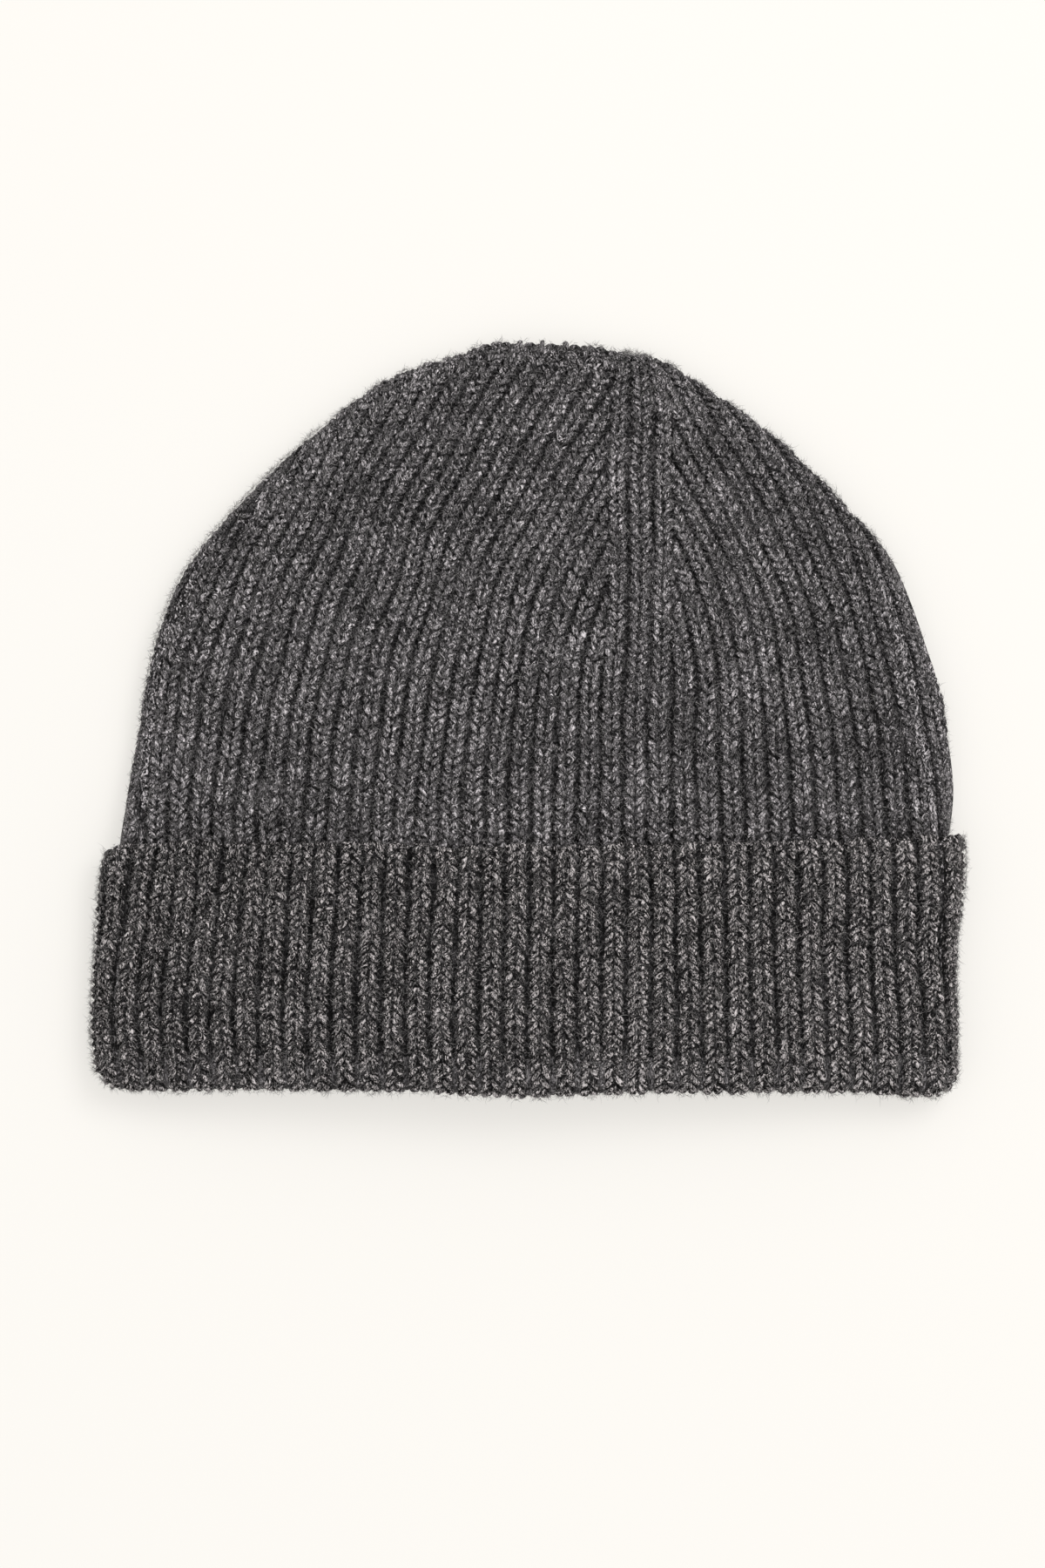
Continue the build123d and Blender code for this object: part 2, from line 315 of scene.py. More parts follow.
GL = follow([18.5 - 5.99 * j for j in range(22)], lean_left)
GR = follow([37.6 + 6.33 * j for j in range(15)], lean_right)
x_under = [104.5 - 6.04 * i for i in range(35)]
GU = follow(x_under[:10], lambda x, y: lean_under(y) + 0 * x)
GB = follow(x_under[10:], lambda x, y: lean_back(y) + 0 * x)
Y_DOWN = np.arange(Y0, Y_BAND, STEP)


def depth_in(x, y):
    """How far in from the folded edge a point is, the fold laid flat."""
    _, _, ey, _, _, d = nearest(x, y)
    return d + (fold_r(ey) - RIB_H) * (pi / 2 - 1)


def between(A, B, side, kind):
    """The rib between two lines, as plan points, side and half width."""
    x = (A + B) / 2
    lean = np.arctan(np.gradient(x, STEP))
    half = np.abs(A - B) / 2 * np.cos(lean)
    x0 = np.full(len(Y_DOWN), x[0])
    x0 = x0 - 3.0 * smooth(-33, -41, Y_DOWN) * np.clip((-x0 - 55) / 45, 0, 1) * (1 if side > 0 else 0.6)
    return (np.r_[x0, x], np.r_[Y_DOWN, Y_UP], np.full(len(Y_DOWN) + len(Y_UP), float(side)),
            np.r_[np.full(len(Y_DOWN), half[0]), np.clip(half, 2.2, 3.35)], kind)


def upto(r, bad):
    """Ends a rib at the first point that is out of its gore."""
    bad = bad & (r[1] > -30)
    if bad.any():
        n = int(np.argmax(bad))
        return r[0][:n], r[1][:n], r[2][:n], r[3][:n], r[4]
    return r


def along_left_fold(dist, kind, y_end):
    """A rib that keeps its distance from the left fold, up to the tip."""
    keep = (edge[:, 1] > Y0) & (spread[:, 0] < 27.0) & (np.arange(len(edge)) < i_top + 140)
    e = edge[keep]
    n = edge_n[keep]
    d = dist(e[:, 1])
    far = np.hypot(spread[keep][:, 0] - 27.5, (spread[keep][:, 1] - 98.6))
    squeeze = 1 - 0.45 * smooth(14, 0, far)
    p = spread[keep] + n * (d * squeeze)[:, None]
    return p[:, 0], p[:, 1], np.ones(len(p)), 2.95 * squeeze, kind


def all_ribs():
    ribs = []
    for m in range(3):
        y = np.arange(Y0, 100.8, STEP)
        A, B = SPINE[m](y), SPINE[m + 1](y)
        ribs.append(((A + B) / 2, y, np.ones(len(y)), (B - A) / 2, "spine"))
    for j in range(20):
        r = between(GL[:, j], GL[:, j + 1], 1, "left")
        D = depth_in(r[0], r[1])
        r = upto(r, (r[0] > SPINE[0](r[1]) + 1.6) | ((D < left_groove(r[1]) - 1.7) & (r[1] > 2)))
        ribs.append(r)
    for j in range(14):
        r = between(GR[:, j], GR[:, j + 1], 1, "right")
        D = depth_in(r[0], r[1])
        ribs.append(upto(r, (r[0] < SPINE[3](r[1]) - 1.6) | ((D < -9.5) & (r[1] > 0))))
    ribs.append(along_left_fold(lambda y: left_groove(y) - 2.95, "fold", 98))
    ribs.append(along_left_fold(lambda y: left_groove(y) - 8.85, "fold", 98))
    # the back
    for m in (-1, 0, 1):
        y = np.arange(Y0, 97.5, STEP)
        w = 6.0 * (1 - 0.45 * smooth(80, 99, y))
        ribs.append((back_spine(y) + m * w, y, -np.ones(len(y)), w / 2, "spine_back"))
    for i in range(8):
        r = between(GU[:, i], GU[:, i + 1], -1, "back")
        D = depth_in(r[0], r[1])
        ribs.append(upto(r, (r[0] < back_spine(r[1]) + 9.6) | ((D < 9.0) & (r[1] > 4))))
    for i in range(1, 24):
        r = between(GB[:, i], GB[:, i + 1], -1, "back")
        D = depth_in(r[0], r[1])
        ribs.append(upto(r, (r[0] > back_spine(r[1]) - 8.6) | ((D < 9.2) & (r[1] > 4))))
    return [r for r in ribs if len(r[0]) > 8]


def new_mesh(name, verts, quads, tris=None, attrs=None, smooth_shade=True):
    """A mesh in metres from millimetre vertices and index arrays."""
    me = bpy.data.meshes.new(name)
    v = np.asarray(verts, np.float32) * MM
    me.vertices.add(len(v))
    me.vertices.foreach_set("co", v.ravel())
    quads = np.asarray(quads, np.int32).reshape(-1, 4)
    tris = np.zeros((0, 3), np.int32) if tris is None else np.asarray(tris, np.int32).reshape(-1, 3)
    loops = np.r_[quads.ravel(), tris.ravel()]
    me.loops.add(len(loops))
    me.loops.foreach_set("vertex_index", loops)
    starts = np.r_[np.arange(len(quads)) * 4, len(quads) * 4 + np.arange(len(tris)) * 3].astype(np.int32)
    me.polygons.add(len(starts))
    me.polygons.foreach_set("loop_start", starts)
    me.polygons.foreach_set("use_smooth", np.full(len(starts), smooth_shade))
    me.update(calc_edges=True)
    for key, val in (attrs or {}).items():
        val = np.asarray(val, np.float32)
        if val.ndim == 2:
            a = me.attributes.new(key, "FLOAT_VECTOR", "POINT")
            a.data.foreach_set("vector", val.ravel())
        else:
            a = me.attributes.new(key, "FLOAT", "POINT")
            a.data.foreach_set("value", val)
    me.validate()
    ob = bpy.data.objects.new(name, me)
    bpy.context.scene.collection.objects.link(ob)
    return ob


def frames(P, N):
    """Tangent, across and true normal along a polyline."""
    T = unit(np.gradient(P, axis=0))
    B = unit(np.cross(T, N))
    return T, B, unit(np.cross(B, T))


def walk(P, N, step, phase=0.0):
    """Even steps along a polyline, with its normals."""
    s = np.r_[0, np.cumsum(np.linalg.norm(np.diff(P, axis=0), axis=1))]
    q = np.arange(phase, s[-1], step)
    f = lambda A: np.stack([np.interp(q, s, A[:, k]) for k in range(3)], -1)
    P2, N2 = f(P), unit(f(N))
    T, B, N3 = frames(P2, N2)
    return P2, T, B, N3, q, s[-1]


# one leg of a stitch: across (as a share of the rib's half width), along, up, half width and half depth
LEG = np.array([
    (0.06, -1.40, 0.56, 0.44, 0.36),
    (0.22, -0.66, 1.20, 0.68, 0.57),
    (0.42, 0.14, 1.42, 0.77, 0.61),
    (0.63, 0.94, 1.02, 0.71, 0.58),
    (0.80, 1.68, -0.10, 0.46, 0.40)])
LEG_LOW = np.array([
    (0.08, -1.20, 0.60, 0.42, 0.40),
    (0.43, 0.20, 1.50, 0.72, 0.66),
    (0.79, 1.60, 0.10, 0.46, 0.42)])
SIDES = 6


def legs(P, T, B, N, half, rng, low=False, height=None, size=1.0, keep=None, plan=None, shade=None, slim=1.0):
    """Both legs of every stitch of one rib."""
    tpl = LEG_LOW if low else LEG
    n = len(P)
    if n == 0:
        return None
    out_v, out_a, out_t, out_r, count = [], [], [], [], 0
    height = np.ones(n) if height is None else height
    lift = rng.normal(0, 0.12, n)
    turn = rng.normal(0, 0.08, n)
    scale = 1 + rng.normal(0, 0.09, n)
    # tone: a random tone per stitch, plus shade, the painted light and shade passed in
    tone = rng.normal(0, 1, n) + (0 if shade is None else shade)
    if plan is not None:
        plan_t = unit(np.gradient(plan, axis=0)) if n > 1 else np.array([[0.0, 1.0]])
        plan_b = np.stack([plan_t[:, 1], -plan_t[:, 0]], -1)
    for sgn in (-1.0, 1.0):
        tw = rng.normal(0, 1, n) * 0.6 + tone
        jb, jt = rng.normal(0, 0.10, n), rng.normal(0, 0.19, n)
        b = sgn * (tpl[None, :, 0] * half[:, None] * (0.5 + 0.5 * scale[:, None]) + jb[:, None])
        t = tpl[None, :, 1] * size * scale[:, None] + jt[:, None]
        b, t = b * np.cos(turn)[:, None] - t * np.sin(turn)[:, None], b * np.sin(turn)[:, None] + t * np.cos(turn)[:, None]
        h = tpl[None, :, 2] * height[:, None] + lift[:, None] * (tpl[None, :, 2] > 0.5)
        C = P[:, None] + b[..., None] * B[:, None] + t[..., None] * T[:, None] + h[..., None] * N[:, None]
        m = len(tpl) // 2
        ok = np.ones(n, bool) if keep is None else keep(plan + plan_b * b[:, m, None] + plan_t * t[:, m, None])
        if not ok.any():
            continue
        C, Nk, hk = C[ok], N[ok], half[ok]
        D = unit(np.gradient(C, axis=1))
        V = unit(np.cross(D, Nk[:, None]))
        U = unit(np.cross(V, D))
        fat = (1 + rng.normal(0, 0.08, n))[ok] * size * (0.76 + 0.1 * hk)
        rw = tpl[None, :, 3] * fat[:, None] * slim
        rd = tpl[None, :, 4] * fat[:, None]
        ph = (np.arange(SIDES) / SIDES) * 2 * pi + pi / 2 + pi   # the first vertex is underneath
        ring = (np.cos(ph)[None, None, :, None] * rw[..., None, None] * V[:, :, None]
                + np.sin(ph)[None, None, :, None] * rd[..., None, None] * U[:, :, None])
        X = C[:, :, None] + ring
        out_v.append(X.reshape(-1, 3))
        # rise: how high each point stands in the pile, which the wool darkens low down as painted shade between the
        # ribs
        up = h[ok][:, :, None] + 0.12 + 0.85 * (ring * Nk[:, None, None]).sum(-1)
        mid = np.abs(b[ok])[:, :, None] / hk[:, None, None]
        out_r.append(np.clip(up / 1.9 * (0.86 + 0.14 * smooth(0.0, 0.22, mid)), 0, 1).ravel())
        al = np.linspace(0, 3.9, len(tpl))[None, :, None] + 0 * X[..., 0]
        ar = (np.arange(SIDES) / SIDES * 3.9)[None, None, :] + 0 * X[..., 0]
        rd_ = rng.uniform(0, 60, n)[ok][:, None, None] + 0 * X[..., 0]
        out_a.append(np.stack([al, ar * sgn, rd_], -1).reshape(-1, 3))
        out_t.append(np.broadcast_to(tw[ok][:, None, None], X.shape[:3]).ravel())
        count += int(ok.sum())
    if not count:
        return None
    return np.concatenate(out_v), np.concatenate(out_a), np.concatenate(out_t), len(tpl), count, np.concatenate(out_r)


def leg_faces(n_legs, rings, start=0):
    i = np.arange(SIDES)
    j = (i + 1) % SIDES
    q = []
    for r in range(rings - 1):
        q.append(np.stack([r * SIDES + i, r * SIDES + j, (r + 1) * SIDES + j, (r + 1) * SIDES + i], -1))
    q = np.concatenate(q)
    a = (rings - 1) * SIDES
    caps = np.array([(3, 2, 1, 0), (5, 4, 3, 0), (a, a + 1, a + 2, a + 3), (a, a + 3, a + 4, a + 5)])
    q = np.concatenate([q, caps])
    base = start + np.arange(n_legs)[:, None, None] * rings * SIDES
    return (q[None] + base).reshape(-1, 4)


class Bunch:
    """Collects stitches of one kind until they become one mesh."""

    def __init__(self):
        self.v, self.a, self.t, self.q, self.r, self.n = [], [], [], [], [], 0

    def add(self, got):
        if got is None:
            return
        v, a, t, rings, count, r = got
        self.r.append(r)
        self.q.append(leg_faces(count, rings, self.n))
        self.v.append(v)
        self.a.append(a)
        self.t.append(t)
        self.n += len(v)

    def build(self, name):
        return new_mesh(name, np.concatenate(self.v), np.concatenate(self.q), None,
                        {"yarn": np.concatenate(self.a), "tone": np.concatenate(self.t), "rise": np.concatenate(self.r)})


def ridge(P, T, B, N, half, height, sink=0.35, beads=0.0):
    """A rib's rounded core as one closed swept solid."""
    n = len(P)
    prof = np.array([(-1.0, -sink), (-0.92, 0.42), (-0.62, 0.80), (0.0, 1.0), (0.62, 0.80), (0.92, 0.42), (1.0, -sink)])
    m = len(prof)
    hh = height * (1 + beads * np.where(np.arange(n) % 2, -1, 1))
    ww = half * (1 + 0.5 * beads * np.where(np.arange(n) % 2, -1, 1))
    up = np.where(prof[:, 1] > 0, prof[:, 1], 0)[None] * hh[:, None] + np.where(prof[:, 1] <= 0, prof[:, 1], 0)[None]
    V = P[:, None] + (prof[None, :, 0] * ww[:, None])[..., None] * B[:, None] + up[..., None] * N[:, None]
    i = np.arange(m)
    j = (i + 1) % m
    q = [np.stack([r * m + j, r * m + i, (r + 1) * m + i, (r + 1) * m + j], -1) for r in range(n - 1)]
    q = np.concatenate(q)
    e = (n - 1) * m
    caps = np.array([(0, 1, 2, 3), (3, 4, 5, 6), (e + 3, e + 2, e + 1, e), (e + 6, e + 5, e + 4, e + 3)])
    t3 = np.array([(0, 3, 6), (e + 6, e + 3, e)])
    s = np.r_[0, np.cumsum(np.linalg.norm(np.diff(P, axis=0), axis=1))]
    at = np.stack([np.repeat(s, m), np.tile(np.arange(m) * 0.9, n), np.zeros(n * m)], -1)
    return V.reshape(-1, 3), np.concatenate([q, caps]), t3, at


class Cores:
    def __init__(self):
        self.v, self.q, self.t, self.a, self.r, self.n = [], [], [], [], [], 0

    # rise: how high the core stands in the pile; a low rise paints it darker as shade between the ribs
    def add(self, got, rise=0.42):
        v, q, t, a = got
        self.r.append(np.full(len(v), rise))
        a = a.copy()
        a[:, 2] = (self.n * 0.37) % 61
        self.v.append(v)
        self.q.append(q + self.n)
        self.t.append(t + self.n)
        self.a.append(a)
        self.n += len(v)

    def build(self, name):
        a = np.concatenate(self.a)
        return new_mesh(name, np.concatenate(self.v), np.concatenate(self.q), np.concatenate(self.t),
                        {"yarn": a, "tone": np.zeros(len(a)), "rise": np.concatenate(self.r)})


# ------------------------------------------------------------------ the hat: band, body and crown
rng = np.random.default_rng(SEED)
B_front_l, B_front_r, B_back, B_band = Bunch(), Bunch(), Bunch(), Bunch()
cores_hat, cores_in = Cores(), Cores()
fuzz_src = {"hat": [], "cuff": []}


def end_taper(q, total, length=2.5):
    return np.clip((total - q) / length, 0.0, 1.0) ** 0.6


def keep_left(C):
    ok = C[:, 0] < SPINE[0](C[:, 1]) + 0.35
    return ok & ((C[:, 1] < 2) | (depth_in(C[:, 0], C[:, 1]) > left_groove(C[:, 1]) + 0.75))


def keep_right(C):
    return C[:, 0] > SPINE[3](C[:, 1]) - 0.35


KEEP = {"left": keep_left, "right": keep_right}
for x, y, s, half, kind in all_ribs():
    spine = kind.startswith("spine")
    wob = (0.28 if spine or kind == "fold" else 0.42) * drift(x, y) * smooth(-60, -20, y)
    P, N = surf(x + wob, y, s)
    P2, T, B, N2, q, total = walk(P, N, COURSE, 0.6 + rng.uniform(-0.15, 0.15))
    sl = np.r_[0, np.cumsum(np.linalg.norm(np.diff(P, axis=0), axis=1))]
    half2 = np.interp(q, sl, half)
    y2, s2 = np.interp(q, sl, y), np.interp(q, sl, s)
    ht = (0.80 + 0.20 * end_taper(q, total, 5.0)) * (1.08 if kind == "spine" else 1.0)
    if kind == "spine":
        ht = ht * (1 - 0.22 * smooth(91, 98, y2))
    if kind == "fold":
        ht = ht * (1 - 0.25 * smooth(0, 14, y2))
    inband = y2 < CREASE_Y - 3
    back = (s2 < 0) | (N2[:, 2] < -0.35)
    for mask, bunch, low in ((inband & back, B_back, True), (inband & ~back, B_band, True), (~inband & back, B_back, True),
                             (~inband & ~back & (P2[:, 0] < 0), B_front_l, False),
                             (~inband & ~back & (P2[:, 0] >= 0), B_front_r, False)):
        if mask.any():
            x2 = np.interp(q, sl, x)[mask]
            # painted light on the fold ribs, painted shade towards the right and the top of the body
            painted_light_and_shade = (1.2 if kind == "fold" else 0.0) - 1.3 * smooth(35, 95, x2) - 1.4 * smooth(25, 75, y2[mask])
            bunch.add(legs(P2[mask], T[mask], B[mask], N2[mask], half2[mask], rng, low=low, height=ht[mask], keep=KEEP.get(kind),
                           plan=np.stack([x2, y2[mask]], -1), shade=painted_light_and_shade))
    fz = ~inband & ~(s2 < 0)
    if kind == "left":
        fz = fz & (P2[:, 0] < SPINE[0](P2[:, 1]))
    if kind == "right":
        fz = fz & (P2[:, 0] > SPINE[3](P2[:, 1]))
    if fz.any():
        fuzz_src["hat"].append((P2[fz], T[fz], B[fz], N2[fz], half2[fz]))
    # the core under the stitches
    C2, CT, CB, CN, cq, ctot = walk(P, N, 2.4, 0.0)
    ch = np.interp(cq, sl, half)
    tap = 0.2 + 0.8 * end_taper(cq, ctot, 4.0)
    cores_hat.add(ridge(C2, CT, CB, CN, ch * 0.80, 1.00 * tap))
    # the rib of the inside face, half a rib over
    C2, CT, CB, CN, cq, ctot = walk(P + (np.cross(N, unit(np.gradient(P, axis=0)))) * half[:, None] - N * CLOTH, -N, 3.4, 0.0)
    ch = np.interp(cq, sl, half)
    cores_in.add(ridge(C2, CT, CB, CN, ch * 0.80, 1.45 * (0.25 + 0.75 * end_taper(cq, ctot, 3.0))))

# where the knit bends over the crown's fold the purl columns between the ribs come forward
for j in range(2, 20):
    g = GL[:, j]
    D = depth_in(g, Y_UP)
    m = (Y_UP > 40) & (D < 4.5) & (D > left_groove(Y_UP) - 1.0)
    if m.sum() > 6:
        P, N = surf(g[m], Y_UP[m], np.ones(m.sum()))
        C2, CT, CB, CN, cq, ctot = walk(P, N, 1.05, 0.0)
        if len(C2) > 3:
            up = smooth(0, 4.0, cq)
            cores_hat.add(ridge(C2, CT, CB, CN, np.full(len(C2), 1.15), 0.15 + 1.05 * up, beads=0.12), 0.75)

# felting lifts the purl columns here and there between the ribs
felting = waves(61, 7, 7.0, 36.0)
lines = [(GL[:, j], -1) for j in range(1, 21)] + [(GR[:, j], 1) for j in range(1, 15)] + [(SPINE[k](Y_UP), 0) for k in range(4)]
for g, where in lines:
    D = depth_in(g, Y_UP)
    m = (Y_UP > -29) & (Y_UP < 92) & (D > 2.5)
    if where < 0:
        m = m & (g < SPINE[0](Y_UP) - 0.5) & (D > left_groove(Y_UP) + 0.5) & ~((Y_UP > 40) & (D < 5.0))
    if where > 0:
        m = m & (g > SPINE[3](Y_UP) + 0.5)
    if m.sum() < 12:
        continue
    i0 = int(np.argmax(m))
    i1 = i0 + int(np.argmin(np.r_[m[i0:], False]))
    if i1 - i0 < 12:
        continue
    P, N = surf(g[i0:i1], Y_UP[i0:i1], np.ones(i1 - i0))
    C2, CT, CB, CN, cq, ctot = walk(P, N, 1.3, 0.0)
    if len(C2) < 4:
        continue
    up = (0.08 if where == 0 else -0.06) + 0.62 * felting(C2[:, 0], C2[:, 1]) + 0.10 * smooth(-20, 12, C2[:, 1]) * smooth(80, 50, C2[:, 1])
    up = np.clip(up, 0.02, 0.95) * smooth(0, 4.0, cq) * smooth(ctot, ctot - 4.0, cq) + 0.02
    cores_hat.add(ridge(C2, CT, CB, CN, np.full(len(C2), 1.10), up, beads=0.10), np.repeat(0.38 + 0.34 * up, 7))

# the tip: the last stitches drawn together
tip_x, tip_y = 29.0, 98.0
a8 = np.linspace(0, 2 * pi, 9, endpoint=False) + 0.2
tp, tn = surf(tip_x + 2.6 * np.cos(a8), tip_y + 1.9 * np.sin(a8) - 0.6, np.ones(9))
tc, _ = surf(np.array([tip_x]), np.array([tip_y - 0.6]), np.ones(1))
tt = unit(tc - tp)
tb = unit(np.cross(tt, tn))
# the tip's stitches are painted lighter (shade 2.0): painted light on the gathered nub
B_front_r.add(legs(tp - tt * 0.2, tt, tb, unit(np.cross(tb, tt)), np.full(9, 1.7), rng, height=np.full(9, 1.0), size=0.8, shade=2.0))
fuzz_src["hat"].append((tp, tt, tb, tn, np.full(9, 2.0)))

stitch_objs_hat = [B_front_l.build("body_stitches_left"), B_front_r.build("body_stitches_right"),
                   B_back.build("back_stitches"), B_band.build("inner_band_stitches")]
rib_cores = cores_hat.build("body_rib_cores")
inside_ribs = cores_in.build("inside_ribs")


def tube_cloth(name):
    """The thin web of the tube, closed at the crown, as a closed solid."""
    nx_, ny_ = 70, 104
    ys = np.r_[np.linspace(Y0 - 1.5, 80, int(ny_ * 0.8)), Y_MAX - (Y_MAX - 80) * (1 - np.linspace(0, 1, int(ny_ * 0.25))[1:]) ** 2]
    ys[-1] = Y_MAX - 0.02
    rows = []
    for yv in ys:
        l, r = float(left_x(yv)), float(right_x(yv))
        f = np.linspace(0, 1, nx_)
        xf = l + (r - l) * f
        front = (xf[:-1], np.ones(nx_ - 1))
        back = (xf[::-1][:-1], -np.ones(nx_ - 1))
        rows.append((np.r_[front[0], back[0]], np.full(2 * (nx_ - 1), yv), np.r_[front[1], back[1]]))
    X = np.array([r[0] for r in rows])
    Y = np.array([r[1] for r in rows])
    S = np.array([r[2] for r in rows])
    P, N = surf(X, Y, S)
    P = P - N * 0.02
    Q = P - N * (CLOTH - 0.04)
    R, M = P.shape[:2]
    verts = np.concatenate([P.reshape(-1, 3), Q.reshape(-1, 3), P[-1].mean(0, keepdims=True), Q[-1].mean(0, keepdims=True)])
    i, j = np.meshgrid(np.arange(R - 1), np.arange(M), indexing="ij")
    k = (j + 1) % M
    a, b, c, d = i * M + j, i * M + k, (i + 1) * M + k, (i + 1) * M + j
    out = np.stack([d, c, b, a], -1).reshape(-1, 4)
    inn = np.stack([a, b, c, d], -1).reshape(-1, 4) + R * M
    jj = np.arange(M)
    kk = (jj + 1) % M
    rim = np.stack([jj, kk, kk + R * M, jj + R * M], -1)
    top = 2 * R * M
    t1 = np.stack([(R - 1) * M + kk, (R - 1) * M + jj, np.full(M, top)], -1)
    t2 = np.stack([(2 * R - 1) * M + jj, (2 * R - 1) * M + kk, np.full(M, top + 1)], -1)
    s = np.repeat(np.arange(R) * 1.3, M)
    at = np.stack([np.r_[s, s, 0, 0], np.r_[np.tile(np.arange(M) * 0.9, 2 * R), 0, 0], np.zeros(2 * R * M + 2)], -1)
    # the web's tone -0.6 and rise 0.3 paint it darker: painted shade between the ribs
    return new_mesh(name, verts, np.concatenate([out, inn, rim]), np.concatenate([t1, t2]),
                    {"yarn": at, "tone": np.full(len(verts), -0.6), "rise": np.full(len(verts), 0.3)})


body_cloth = tube_cloth("body_cloth")

# ------------------------------------------------------------------ the cuff and its turned edge


def cuff_section(off, n=1600):
    """Even points round the cuff's profile at a depth off from its outside, from the bottom middle."""
    a, h, r = CUFF_A - off, CUFF_H - 2 * off, CUFF_R - off
    m = CUFF_A - CUFF_R
    H = CUFF_H
    zc = (H - m * m / (H - 2 * CUFF_R)) / 2
    big = H - zc - off
    am = np.arctan2(CUFF_R - zc, m)           # where the side arc meets the top arc
    pts, nrm = [], []
    for x in np.linspace(0, m, 300)[:-1]:
        pts.append((x, off)); nrm.append((0, -1))
    for t in np.linspace(-pi / 2, am, 120)[:-1]:
        pts.append((m + r * cos(t), CUFF_R + r * sin(t))); nrm.append((cos(t), sin(t)))
    for t in np.linspace(am, pi - am, 700)[:-1]:
        pts.append((big * cos(t), zc + big * sin(t))); nrm.append((cos(t), sin(t)))
    for t in np.linspace(pi - am, 3 * pi / 2, 120)[:-1]:
        pts.append((-m + r * cos(t), CUFF_R + r * sin(t))); nrm.append((cos(t), sin(t)))
    for x in np.linspace(-m, 0, 300):
        pts.append((x, off)); nrm.append((0, -1))
    return np.array(pts), np.array(nrm)


sec_p, sec_n = cuff_section(0.0)
base_p = sec_p - sec_n * 1.9
sec_s = np.r_[0, np.cumsum(np.linalg.norm(np.diff(base_p, axis=0), axis=1))]
SEC_L = sec_s[-1]
cuff_pitch = SEC_L / N_RIBS
soft_edge = waves(37, 6, 30.0, 110.0)
soft_cuff = waves(41, 6, 34.0, 90.0)
rib_edge = waves(39, 6, 11.0, 24.0)
low_edge = pchip([(-116, 3.0), (-113, 1.5), (-110, 0.5), (-107, 0.3), (-100, 0.2), (-93, 0.2), (-70, 0.45), (-36, 0.4), (-1, -0.9),
                  (16, -0.5), (33, 0.0), (68, 0.0), (91, -0.2), (100, -1.3), (106, -1.3), (110, -1.5), (113, -0.9), (116, 0.7)])
left_in = pchip([(-115, 0.3), (-96, -0.2), (-80, -0.5), (-60, 0.6), (-45, 1.4), (-37, 2.2), (-32, 3.6)])
right_in = pchip([(-115, -1.3), (-90, -1.4), (-60, -1.6), (-50, -0.3), (-40, 0.5), (-34, 0.2), (-30, -0.8)])


def cuff_at(sig, y, depth, tilt_n=1.0, tilt_y=0.0):
    """A point at a depth under the cuff's outside, with an outward normal."""
    sig = np.mod(sig, SEC_L)
    px, pz = np.interp(sig, sec_s, sec_p[:, 0]), np.interp(sig, sec_s, sec_p[:, 1])
    nx_, nz = np.interp(sig, sec_s, sec_n[:, 0]), np.interp(sig, sec_s, sec_n[:, 1])
    top = np.clip(pz / CUFF_H * 1.6 - 0.6, 0, 1)
    x = px - nx_ * depth
    z = pz - nz * depth + 0.45 * soft_cuff(px, y) * top
    # the low corners are drawn up, the left one more, and the rim waves
    sl, sr = np.clip((-px - 97.0) / 18.3, 0, 1), np.clip((px - 106.0) / 9.3, 0, 1)
    low = smooth(-76, -98, y)
    lift = low_edge(px) * low
    wave = (0.45 * soft_edge(px, pz * 2) + 0.42 * rib_edge(px, pz * 2) + 1.9 * np.clip(px / CUFF_A, 0, 1) ** 2 - 0.6
            - 2.2 * sl ** 2) * smooth(-60, -34, y)
    wl, wr = np.clip(-px / CUFF_A, 0, 1) ** 2, np.clip(px / CUFF_A, 0, 1) ** 2
    pull = 1.0 * sl ** 2 * smooth(-84, -98, y) - 0.2 * sr ** 2 * smooth(-90, -98, y)
    P = np.stack([x + left_in(y) * wl + right_in(y) * wr + pull, y + lift + wave, z], -1)
    N = np.stack([nx_ * tilt_n, tilt_y + 0 * nx_, nz * tilt_n], -1)
    return P, unit(N)


ROLL_Y, ROLL_D, ROLL_R = -93.9, 4.4, 2.5
pitch_l = pchip([(-33, 6.30), (-40, 6.32), (-51, 6.35), (-65, 6.41), (-79, 6.43), (-90, 6.38), (-100, 6.36)][::-1])
pitch_r = pchip([(-33, 6.43), (-40, 6.45), (-51, 6.52), (-65, 6.60), (-79, 6.70), (-90, 6.72), (-100, 6.72)][::-1])


def groove_sig(m, y):
    """Where groove m of the cuff runs: 0 is the straight one, up to 21 leftwards, down to -13 rightwards."""
    m = m % N_RIBS
    y = np.asarray(y, float)
    if m <= 21:
        return sig_groove + m * pitch_l(y)
    if m >= N_RIBS - 13:
        return sig_groove + SEC_L - (N_RIBS - m) * pitch_r(y)
    a, b = sig_groove + 21 * pitch_l(y), sig_groove + SEC_L - 13 * pitch_r(y)
    return a + (b - a) * (m - 21) / (N_RIBS - 13 - 21)


def rib_sig(k, y):
    a, b = groove_sig(k, y), groove_sig(k + 1, y)
    b = np.where(b < a, b + SEC_L, b)
    return (a + b) / 2, (b - a) / 2


